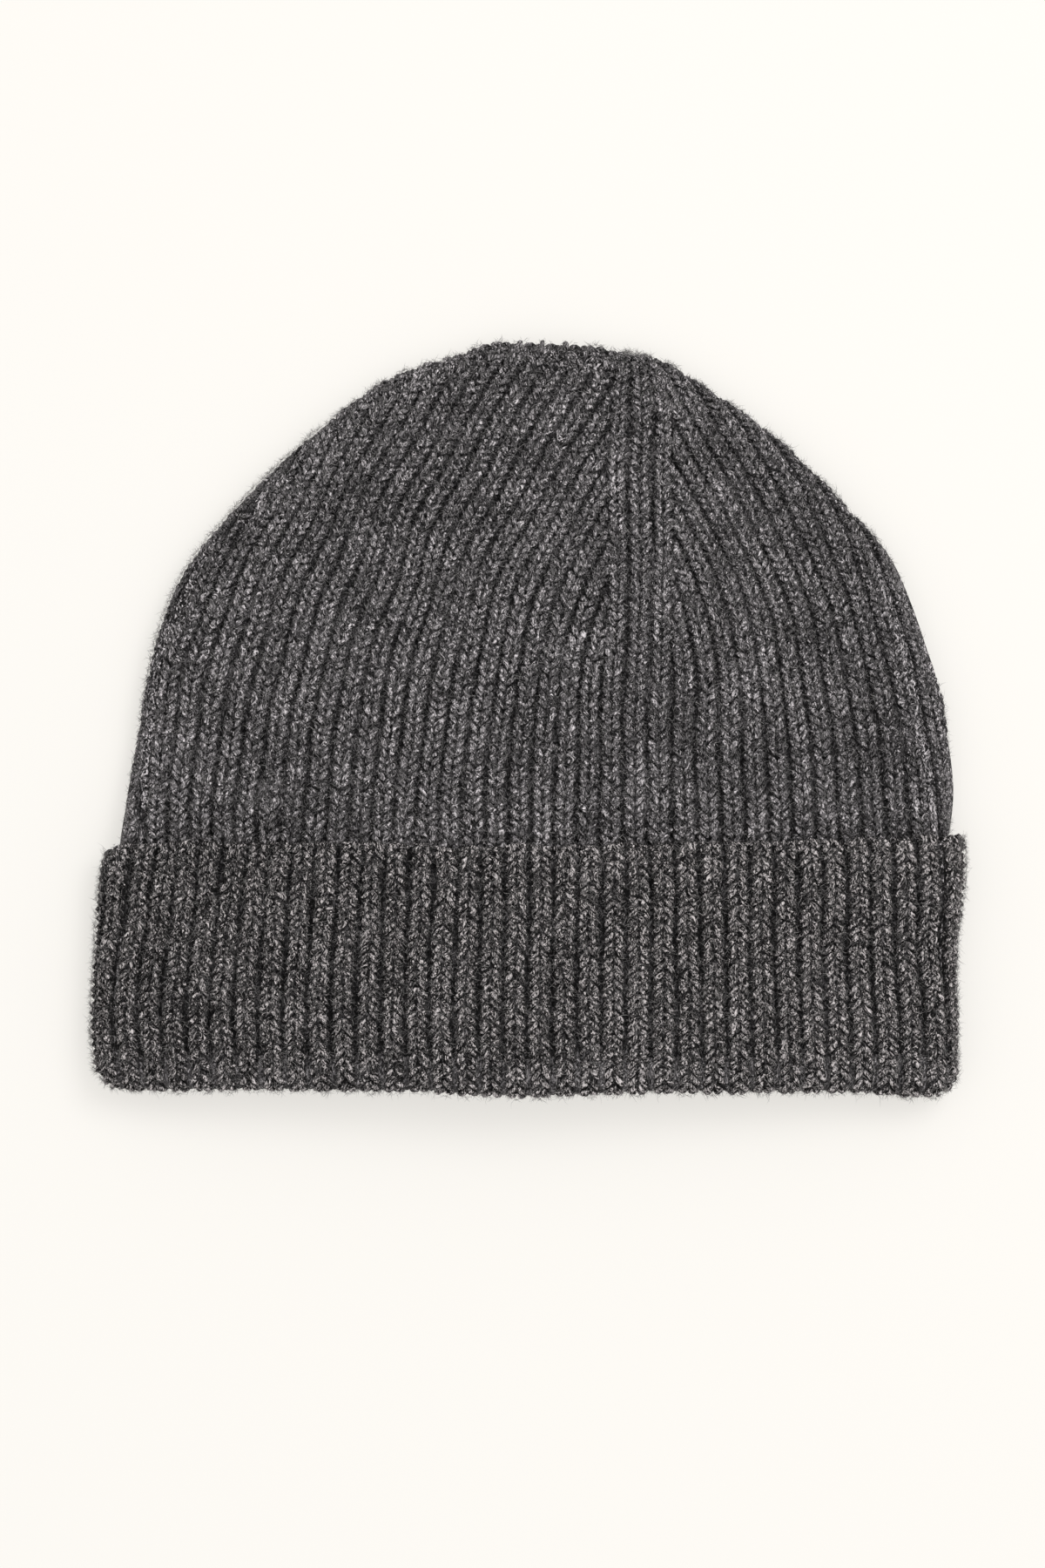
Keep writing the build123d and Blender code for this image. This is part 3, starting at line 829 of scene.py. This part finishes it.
def cuff_path(k, shift=0.0):
    """One rib of the cuff: down from the rim, round the turned edge and up inside."""
    y1 = np.arange(CUFF_TOP - 0.9, ROLL_Y, -0.5)
    psi = np.linspace(0, pi, 18)
    y3 = np.arange(ROLL_Y + 0.5, -91.0, 0.5)
    s1, h1 = rib_sig(k, y1)
    s1 = s1 + shift * h1
    P1, N1 = cuff_at(s1, y1, 1.9)
    s2, h2 = rib_sig(k, ROLL_Y)
    s2 = float(s2 + shift * h2)
    P2, N2 = [], []
    for p in psi:
        a, b = cuff_at(np.array([s2]), np.array([ROLL_Y - ROLL_R * sin(p)]), ROLL_D - ROLL_R * cos(p), cos(p), -sin(p))
        P2.append(a[0]); N2.append(b[0])
    P3, N3 = cuff_at(np.full(len(y3), s2), y3, ROLL_D + ROLL_R, -1.0, 0.0)
    half = np.r_[h1, np.full(len(psi) + len(y3), float(h2))]
    return np.concatenate([P1, P2, P3]), np.concatenate([N1, N2, N3]), half


B_cuff_f, B_cuff_f2, B_cuff_b, B_roll = Bunch(), Bunch(), Bunch(), Bunch()
cores_cuff = Cores()
top_mask = sec_p[:, 1] > 15
sig_groove = float(np.interp(-X_GROOVE, -sec_p[top_mask][:, 0], sec_s[top_mask]))
for k in range(N_RIBS):
    P, N, half = cuff_path(k)
    wob = (0.24 * np.sin(np.linspace(0, 7, len(P)) + rng.uniform(0, 6))
           + 0.20 * np.sin(np.linspace(0, rng.uniform(16, 26), len(P)) + rng.uniform(0, 6))) * np.linspace(1, 0.3, len(P))
    T0, B0, N0 = frames(P, N)
    P = P + B0 * wob[:, None]
    P2, T, B, N2, q, total = walk(P, N, COURSE * 0.985, 0.35 + rng.uniform(-0.1, 0.1))
    sl = np.r_[0, np.cumsum(np.linalg.norm(np.diff(P, axis=0), axis=1))]
    half2 = np.interp(q, sl, half)
    shrink = np.where(q > 62, 1 - 0.10 * np.clip((q - 62) / 8, 0, 1), 1.0)
    front = P2[:, 2] > 11.0
    rolled = q > 65.5
    # the cuff's stitches get painted shade towards the left and painted light on the turned edge, passed in as shade
    for mask, bunch, low in ((front & ~rolled & (P2[:, 0] < 0), B_cuff_f, False), (front & ~rolled & (P2[:, 0] >= 0), B_cuff_f2, False),
                             (~front & ~rolled, B_cuff_b, True), (rolled, B_roll, False)):
        if mask.any():
            bunch.add(legs(P2[mask], T[mask], B[mask], N2[mask], (half2 * shrink)[mask], rng, low=low,
                           height=np.full(mask.sum(), 0.97), slim=0.88, shade=(-2.8 * smooth(90, -95, P2[:, 0]) - 2.4 * smooth(-10, -100, P2[:, 0]) + 7.2 * smooth(-90, -96, P2[:, 1]))[mask]))
    fuzz_src["cuff"].append((P2, T, B, N2, half2))
    C2, CT, CB, CN, cq, ctot = walk(P, N, 2.4, 0.0)
    ch = np.interp(cq, sl, half)
    cores_cuff.add(ridge(C2, CT, CB, CN, ch * 0.80, 1.00 * np.ones(len(C2))))
    # the purl column between two ribs comes forward where the knit bends round the turned edge
    G, GN, gh = cuff_path(k, 1.0)
    keep = G[:, 1] < -88.0
    G, GN = G[keep], GN[keep]
    C2, CT, CB, CN, cq, ctot = walk(G, GN, 1.05, 0.0)
    rise = smooth(0, 5.0, cq) * smooth(ctot, ctot - 2, cq)
    cores_cuff.add(ridge(C2, CT, CB, CN, np.full(len(C2), 1.15), 0.15 + 1.0 * rise, beads=0.12), 0.95)
cuff_objs = [B_cuff_f.build("cuff_stitches_left"), B_cuff_f2.build("cuff_stitches_right"),
             B_cuff_b.build("cuff_stitches_back"), B_roll.build("turned_edge_stitches")]
cuff_cores = cores_cuff.build("cuff_rib_cores")

# the cast-on edge: a chain of short slanted stitches round the cuff's rim
edge_b = Bunch()
n_e = N_RIBS * 2
sg = []
for k in range(N_RIBS):
    c, h = rib_sig(k, CUFF_TOP)
    sg += [float(c - 0.5 * h), float(c + 0.5 * h)]
sg = np.array(sg)
P, N = cuff_at(sg, np.full(n_e, CUFF_TOP - 0.9), 1.55)
Pn, _ = cuff_at(sg + 0.5, np.full(n_e, CUFF_TOP - 0.9), 1.55)
D = unit(Pn - P)
crest = np.where(np.arange(n_e) % 2 == 0, 0.0, 1.0)
P = P + N * (0.55 * (1 - crest))[:, None] * -0.4
U = unit(np.cross(N, D))
T_e = unit(D + 0.28 * rng.normal(1.0, 0.25, n_e)[:, None] * U)
B_e = unit(np.cross(T_e, N))
half_e = np.full(n_e, 1.3)
edge_b.add(legs(P, T_e, B_e, N, half_e, rng, low=False, height=np.full(n_e, 0.55), size=0.86))
cast_on = edge_b.build("cast_on_edge")

# ribs on the cuff's hidden face, seen when it is down
cores_ci = Cores()
for k in range(N_RIBS):
    y1 = np.arange(CUFF_TOP - 1.2, -91.0, -3.2)
    c, h = rib_sig(k, y1)
    P, N = cuff_at(c + h, y1, 1.9 + CLOTH, -1.0, 0.0)
    T0, B0, N0 = frames(P, N)
    cores_ci.add(ridge(P, T0, B0, N0, h * 0.80, 1.30 * np.ones(len(P))))
cuff_inside = cores_ci.build("cuff_hidden_ribs")


def cuff_cloth(name):
    """The cuff's thin web, from the rim round the turned edge to its inner lip, as a closed solid."""
    M = 240
    sg = np.arange(M) / M * SEC_L
    rows_p, rows_n = [], []
    for yv in np.linspace(CUFF_TOP - 0.9, ROLL_Y, 34):
        p, n = cuff_at(sg, np.full(M, yv), 1.9)
        rows_p.append(p); rows_n.append(n)
    for ps in np.linspace(0, pi, 14)[1:]:
        p, n = cuff_at(sg, np.full(M, ROLL_Y - ROLL_R * sin(ps)), ROLL_D - ROLL_R * cos(ps), cos(ps), -sin(ps))
        rows_p.append(p); rows_n.append(n)
    for yv in np.linspace(ROLL_Y, -91.4, 4)[1:]:
        p, n = cuff_at(sg, np.full(M, yv), ROLL_D + ROLL_R, -1.0, 0.0)
        rows_p.append(p); rows_n.append(n)
    P, N = np.array(rows_p), np.array(rows_n)
    Q = P - N * CLOTH
    R = len(P)
    verts = np.concatenate([P.reshape(-1, 3), Q.reshape(-1, 3)])
    i, j = np.meshgrid(np.arange(R - 1), np.arange(M), indexing="ij")
    k = (j + 1) % M
    a, b, c, d = i * M + j, i * M + k, (i + 1) * M + k, (i + 1) * M + j
    out = np.stack([d, c, b, a], -1).reshape(-1, 4)
    inn = np.stack([a, b, c, d], -1).reshape(-1, 4) + R * M
    jj = np.arange(M)
    kk = (jj + 1) % M
    r1 = np.stack([jj, kk, kk + R * M, jj + R * M], -1)
    e = (R - 1) * M
    r2 = np.stack([e + kk, e + jj, e + jj + R * M, e + kk + R * M], -1)
    s = np.repeat(np.arange(R) * 1.3, M)
    at = np.stack([np.r_[s, s], np.tile(np.arange(M) * 0.9, 2 * R), np.zeros(2 * R * M)], -1)
    # the web's tone -0.6 and rise 0.3 paint it darker: painted shade between the ribs
    return new_mesh(name, verts, np.concatenate([out, inn, r1, r2]), None, {"yarn": at, "tone": np.full(len(verts), -0.6), "rise": np.full(len(verts), 0.3)})


cuff_web = cuff_cloth("cuff_cloth")

# ------------------------------------------------------------------ wool fuzz


def fuzz(name, sources, count, rng, long=1.0, thick=0.038):
    """Fine loose fibres rooted on the stitches, each a thin closed bent spike."""
    P = np.concatenate([s[0] for s in sources])
    T = np.concatenate([s[1] for s in sources])
    B = np.concatenate([s[2] for s in sources])
    N = np.concatenate([s[3] for s in sources])
    H = np.concatenate([s[4] for s in sources])
    i = rng.integers(0, len(P), count)
    u = rng.uniform(-1, 1, count)
    ang = u * 1.15
    root = (P[i] + B[i] * (np.sin(ang) * H[i] * 0.92)[:, None] + N[i] * (0.25 + 1.95 * np.cos(ang))[:, None]
            + T[i] * rng.uniform(-1.1, 1.1, count)[:, None])
    nn = unit(N[i] * np.cos(ang)[:, None] + B[i] * np.sin(ang)[:, None])
    w = rng.uniform(0, 2 * pi, count)
    tang = unit(np.cos(w)[:, None] * np.cross(nn, T[i]) + np.sin(w)[:, None] * T[i])
    stand = rng.beta(1.5, 3.2, count)
    d0 = unit(tang * (1 - 0.6 * stand)[:, None] + nn * (0.10 + stand)[:, None])
    L = np.clip(rng.lognormal(0.42, 0.36, count), 0.8, 3.4) * long
    w2 = rng.uniform(0, 2 * pi, count)
    side = unit(np.cos(w2)[:, None] * np.cross(d0, nn) + np.sin(w2)[:, None] * tang)
    bend = rng.uniform(0.3, 1.2, count)
    mid = root + d0 * (L * 0.5)[:, None]
    tip = mid + unit(d0 + side * bend[:, None]) * (L * 0.5)[:, None]
    root = root - d0 * 0.25
    r = thick * rng.uniform(0.75, 1.3, count)
    a1 = unit(np.cross(d0, nn + 0.31 * tang))
    a2 = np.cross(d0, a1)
    ring = []
    for base, rr in ((root, 1.0), (mid, 0.85)):
        for k in range(3):
            c, s = cos(2 * pi * k / 3), sin(2 * pi * k / 3)
            ring.append(base + (a1 * c + a2 * s) * (r * rr)[:, None])
    V = np.stack(ring + [tip], 1)
    b = np.arange(count)[:, None] * 7
    quads = np.concatenate([b + np.array([[0, 1, 4, 3]]), b + np.array([[1, 2, 5, 4]]), b + np.array([[2, 0, 3, 5]])], 0)
    tris = np.concatenate([b + np.array([[3, 4, 6]]), b + np.array([[4, 5, 6]]), b + np.array([[5, 3, 6]]), b + np.array([[2, 1, 0]])], 0)
    tone = np.repeat(rng.normal(0, 1, count), 7)
    return new_mesh(name, V.reshape(-1, 3), quads, tris, {"tone": tone}, smooth_shade=True)


frng = np.random.default_rng(SEED + 5)


def rim_heavy(sources):
    """The same roots, with those on the outline counted more often."""
    out = []
    for s in sources:
        nz = s[3][:, 2]
        m = nz > -0.3
        out.append(tuple(a[m] for a in s))
        m = np.abs(nz) < 0.45
        for _ in range(1):
            out.append(tuple(a[m] for a in s))
    return [o for o in out if len(o[0])]


n_hat, n_cuff = ((14500, 11500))
fuzz_objs_hat, fuzz_objs_cuff = [], []
for i in range(2):
    fuzz_objs_hat.append(fuzz("body_fuzz_%d" % (i + 1), rim_heavy(fuzz_src["hat"]), n_hat, frng))
    fuzz_objs_cuff.append(fuzz("cuff_fuzz_%d" % (i + 1), rim_heavy(fuzz_src["cuff"]), n_cuff, frng))

# ------------------------------------------------------------------ materials


def node(nt, kind, **kw):
    n = nt.nodes.new(kind)
    for k, v in kw.items():
        if k in n.inputs:
            n.inputs[k].default_value = v
        else:
            setattr(n, k, v)
    return n


def ramp(nt, fac, stops):
    r = nt.nodes.new("ShaderNodeValToRGB")
    els = r.color_ramp.elements
    while len(els) > len(stops):
        els.remove(els[-1])
    while len(els) < len(stops):
        els.new(0.5)
    for e, (p, c) in zip(els, stops):
        e.position = p
        e.color = (c[0], c[1], c[2], 1)
    nt.links.new(fac, r.inputs["Fac"])
    return r.outputs["Color"]


def math(nt, op, a, b=None, c=None):
    n = nt.nodes.new("ShaderNodeMath")
    n.operation = op
    for i, v in enumerate((a, b, c)):
        if v is None:
            continue
        if isinstance(v, (int, float)):
            n.inputs[i].default_value = v
        else:
            nt.links.new(v, n.inputs[i])
    return n.outputs[0]


def noise(nt, vec, scale, rot=(0, 0, 0), loc=(0, 0, 0), size=1.0, detail=2.0, rough=0.5):
    m = nt.nodes.new("ShaderNodeMapping")
    m.inputs["Scale"].default_value = scale
    m.inputs["Rotation"].default_value = rot
    m.inputs["Location"].default_value = loc
    nt.links.new(vec, m.inputs["Vector"])
    n = node(nt, "ShaderNodeTexNoise", Scale=size, Detail=detail, Roughness=rough)
    nt.links.new(m.outputs["Vector"], n.inputs["Vector"])
    return n.outputs["Fac"]


def wool(name, shade=0.075, contrast=1.0, bump=0.6, groove_shade_gain=2.4, tint=(1.045, 0.987, 1.014)):
    """Charcoal heather wool: dark, mid and pale fibres lying along the yarn, with painted shade low down between the
    ribs.
    """
    mat = bpy.data.materials.new(name)
    mat.use_nodes = True
    nt = mat.node_tree
    bsdf = nt.nodes["Principled BSDF"]
    bsdf.inputs["Roughness"].default_value = 0.92
    bsdf.inputs["Specular IOR Level"].default_value = 0.08
    bsdf.inputs["Sheen Weight"].default_value = 0.04
    bsdf.inputs["Sheen Roughness"].default_value = 0.5
    bsdf.inputs["Sheen Tint"].default_value = (0.86, 0.84, 0.83, 1)
    L = nt.links
    yarn = node(nt, "ShaderNodeAttribute", attribute_name="yarn").outputs["Vector"]
    tone = node(nt, "ShaderNodeAttribute", attribute_name="tone").outputs["Fac"]
    rise = node(nt, "ShaderNodeAttribute", attribute_name="rise").outputs["Fac"]
    obj = nt.nodes.new("ShaderNodeTexCoord").outputs["Object"]
    streak = noise(nt, yarn, (0.62, 2.3, 1.0), (0, 0, 0.30), size=1.0, detail=2.0, rough=0.55)
    strand = noise(nt, yarn, (0.9, 1.5, 1.7), (0, 0, -0.45), (7.0, 3.0, 11.0), detail=1.0)
    fleck = noise(nt, obj, (2300.0, 1750.0, 2300.0), detail=2.0, rough=0.62)
    # loose hairs felted over the stitches in every direction
    bent = nt.nodes.new("ShaderNodeVectorMath")
    bent.operation = "MULTIPLY_ADD"
    warp = node(nt, "ShaderNodeTexNoise", Scale=260.0, Detail=1.0)
    L.new(obj, warp.inputs["Vector"])
    L.new(warp.outputs["Color"], bent.inputs[0])
    bent.inputs[1].default_value = (0.0035, 0.0035, 0.0035)
    L.new(obj, bent.inputs[2])
    grain = None
    for n_, (turn_, sc_) in enumerate(((0.9, (3600.0, 1750.0, 2600.0)), (2.2, (3000.0, 1500.0, 2300.0)))):
        m_ = nt.nodes.new("ShaderNodeMapping")
        m_.inputs["Scale"].default_value = sc_
        m_.inputs["Rotation"].default_value = (0, 0, turn_)
        L.new(bent.outputs[0], m_.inputs["Vector"])
        v_ = node(nt, "ShaderNodeTexVoronoi", Scale=1.0)
        L.new(m_.outputs["Vector"], v_.inputs["Vector"])
        s_ = nt.nodes.new("ShaderNodeSeparateColor")
        L.new(v_.outputs["Color"], s_.inputs[0])
        grain = s_.outputs[0] if grain is None else math(nt, "ADD", grain, s_.outputs[0])
    hair = None
    for n_, turn_ in enumerate((0.5, 1.55, 2.6)):
        h_ = noise(nt, bent.outputs[0], (4200.0, 1050.0, 1800.0), (0, 0, turn_), (3.0 * n_, 5.0 * n_, 1.0 * n_), detail=0.0)
        hair = h_ if hair is None else math(nt, "MAXIMUM", hair, h_)
    slow = noise(nt, obj, (60.0, 60.0, 60.0), detail=3.0)
    # brightness spreads evenly in stops, as in a heather of dyed and pale fibres
    k = contrast
    e = math(nt, "MULTIPLY_ADD", streak, 2.0 * k, -1.0 * k)
    e = math(nt, "ADD", e, math(nt, "MULTIPLY_ADD", fleck, 3.4 * k, -1.7 * k))
    e = math(nt, "ADD", e, math(nt, "MULTIPLY_ADD", hair, 5.6 * k, -3.33 * k))
    e = math(nt, "ADD", e, math(nt, "MULTIPLY_ADD", grain, 4.8 * k, -4.8 * k))
    e = math(nt, "ADD", e, math(nt, "MULTIPLY_ADD", strand, 1.0 * k, -0.5 * k))
    e = math(nt, "ADD", e, math(nt, "MULTIPLY_ADD", slow, 2.2, -1.1))
    # tone: random per-stitch tone plus the painted light and shade the stitches carry
    e = math(nt, "ADD", e, math(nt, "MULTIPLY", tone, 0.085))
    # painted shade: the colour darkens low down in the pile, by the rise attribute, less so in patches where felting
    # bridges the ribs
    groove_shade_amount = math(nt, "MULTIPLY_ADD", noise(nt, obj, (200.0, 120.0, 200.0), (0, 0, 0), (4.0, 2.0, 7.0), detail=1.0), 2.8, -0.4)
    e = math(nt, "ADD", e, math(nt, "MULTIPLY", math(nt, "MULTIPLY_ADD", rise, groove_shade_gain, -0.77 * groove_shade_gain), groove_shade_amount))
    # the palest fibres stand out less than the darkest ones
    e = math(nt, "MULTIPLY_ADD", math(nt, "MAXIMUM", e, 0.0), -0.22, e)
    lum = math(nt, "MULTIPLY", math(nt, "EXPONENT", e), shade)
    lum = math(nt, "MINIMUM", lum, 0.62)
    comb = nt.nodes.new("ShaderNodeCombineColor")
    L.new(math(nt, "MULTIPLY", lum, tint[0]), comb.inputs[0])
    L.new(math(nt, "MULTIPLY", lum, tint[1]), comb.inputs[1])
    L.new(math(nt, "MULTIPLY", lum, tint[2]), comb.inputs[2])
    L.new(comb.outputs[0], bsdf.inputs["Base Color"])
    bp = nt.nodes.new("ShaderNodeBump")
    bp.inputs["Strength"].default_value = bump
    bp.inputs["Distance"].default_value = 0.0007
    L.new(math(nt, "MULTIPLY_ADD", grain, 0.35, math(nt, "ADD", hair, fleck)), bp.inputs["Height"])
    L.new(bp.outputs["Normal"], bsdf.inputs["Normal"])
    return mat


def fibre_mat(name):
    mat = bpy.data.materials.new(name)
    mat.use_nodes = True
    nt = mat.node_tree
    bsdf = nt.nodes["Principled BSDF"]
    bsdf.inputs["Roughness"].default_value = 0.8
    bsdf.inputs["Specular IOR Level"].default_value = 0.2
    bsdf.inputs["Sheen Weight"].default_value = 0.15
    L = nt.links
    tone = node(nt, "ShaderNodeAttribute", attribute_name="tone")
    geo = nt.nodes.new("ShaderNodeTexCoord")
    n = node(nt, "ShaderNodeTexNoise", Scale=700.0, Detail=1.0)
    L.new(geo.outputs["Object"], n.inputs["Vector"])
    m = node(nt, "ShaderNodeMapRange")
    m.inputs["From Min"].default_value = -1.6
    m.inputs["From Max"].default_value = 2.4
    L.new(tone.outputs["Fac"], m.inputs["Value"])
    a = node(nt, "ShaderNodeMath", operation="MULTIPLY_ADD")
    a.inputs[1].default_value = 0.35
    L.new(n.outputs["Fac"], a.inputs[0])
    L.new(m.outputs["Result"], a.inputs[2])
    col = ramp(nt, a.outputs[0], [(0.15, (0.05, 0.048, 0.048)), (0.55, (0.17, 0.164, 0.161)), (0.85, (0.28, 0.269, 0.263)),
                                  (1.0, (0.44, 0.424, 0.413))])
    L.new(col, bsdf.inputs["Base Color"])
    return mat


mat_wool = wool("heather_wool", 0.0580, 0.69)
# the cuff's wool: darker, with more contrast and stronger painted shade low down between its ribs
mat_cuff = wool("heather_wool_cuff", 0.0430, 1.25, 0.9, 2.8, (1.055, 0.984, 0.983))
# darker copies of the wool for the rib cores, the webs and the filler columns: painted shade where they show between
# the ribs
mat_core_shaded = wool("heather_wool_shade", 0.033, 0.6, 0.3)
mat_core_cuff_shaded = wool("heather_wool_cuff_shade", 0.024, 0.6, 0.3)
# a lighter copy of the wool for the inside ribs: painted light to lift the shade in the hollow
mat_in_lit = wool("heather_wool_inside_lit", 0.095, 0.9, 0.5)
mat_fibre = fibre_mat("wool_fibre")

for o in stitch_objs_hat:
    o.data.materials.append(mat_wool)
for o in cuff_objs + [cast_on]:
    o.data.materials.append(mat_cuff)
for o in (rib_cores, body_cloth):
    o.data.materials.append(mat_core_shaded)
for o in (cuff_cores, cuff_web):
    o.data.materials.append(mat_core_cuff_shaded)
for o in (inside_ribs, cuff_inside):
    o.data.materials.append(mat_in_lit)
for o in fuzz_objs_hat + fuzz_objs_cuff:
    o.data.materials.append(mat_fibre)

# yarns inside keep their CAD shape
mat_yarn = wool("seam_yarn", 0.036, 0.6, 0.4)
for n in ("linking_seam", "crown_draw_yarn"):
    ob = bpy.data.objects.get(n)
    if ob is not None:
        ob.data.materials.clear()
        ob.data.materials.append(mat_yarn)

# ------------------------------------------------------------------ what rides on what
HAT_NODES = [n for n in frame["record"]["behaviour"]["bodies"]["hat"] if n not in ("linking_seam", "crown_draw_yarn")]
CUFF_NODES = list(frame["record"]["behaviour"]["bodies"]["cuff"])
for o in stitch_objs_hat + [rib_cores, inside_ribs, body_cloth] + fuzz_objs_hat:
    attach(o, "hat")
for o in cuff_objs + [cuff_cores, cast_on, cuff_inside, cuff_web] + fuzz_objs_cuff:
    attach(o, "cuff")
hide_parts(*HAT_NODES)
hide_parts(*CUFF_NODES)

# ------------------------------------------------------------------ floor and light
bpy.ops.mesh.primitive_plane_add(size=6.0, location=(0, 0, -0.0002))
floor = bpy.context.object
floor.name = "floor"
fm = bpy.data.materials.new("pale_floor")
fm.use_nodes = True
fb = fm.node_tree.nodes["Principled BSDF"]
fb.inputs["Base Color"].default_value = (0.295, 0.287, 0.274, 1)
fb.inputs["Roughness"].default_value = 0.95
fb.inputs["Specular IOR Level"].default_value = 0.0
fb.inputs["Emission Color"].default_value = (1.0, 0.978, 0.932, 1)
fb.inputs["Emission Strength"].default_value = 0.577
floor.data.materials.append(fm)

world = bpy.data.worlds.new("studio")
bpy.context.scene.world = world
world.use_nodes = True
bg = world.node_tree.nodes["Background"]
bg.inputs["Color"].default_value = (1.0, 0.99, 0.98, 1)
# brighter overhead than round the sides
wt = world.node_tree
w_co = wt.nodes.new("ShaderNodeTexCoord")
w_sep = wt.nodes.new("ShaderNodeSeparateXYZ")
wt.links.new(w_co.outputs["Generated"], w_sep.inputs[0])
w_up = math(wt, "MAXIMUM", w_sep.outputs["Z"], 0.0)
wt.links.new(math(wt, "MULTIPLY_ADD", math(wt, "POWER", w_up, 3.0), 1.55, 0.46), bg.inputs["Strength"])


def area_light(name, loc, size, power, target=(0, 0, 0), color=(1, 1, 1)):
    d = bpy.data.lights.new(name, "AREA")
    d.shape = "RECTANGLE"
    d.size, d.size_y = size
    d.energy = power
    d.color = color
    o = bpy.data.objects.new(name, d)
    bpy.context.scene.collection.objects.link(o)
    o.location = loc
    v = np.array(target, float) - np.array(loc, float)
    v /= np.linalg.norm(v)
    from mathutils import Vector
    o.rotation_euler = Vector(v).to_track_quat("-Z", "Y").to_euler()
    return o


area_light("key", (0.52, 0.46, 1.45), (0.7, 0.7), 11.0)

sc = bpy.context.scene
sc.view_settings.view_transform = "Standard"
sc.view_settings.look = "None"
sc.view_settings.exposure = 0.0
sc.view_settings.gamma = 1.0
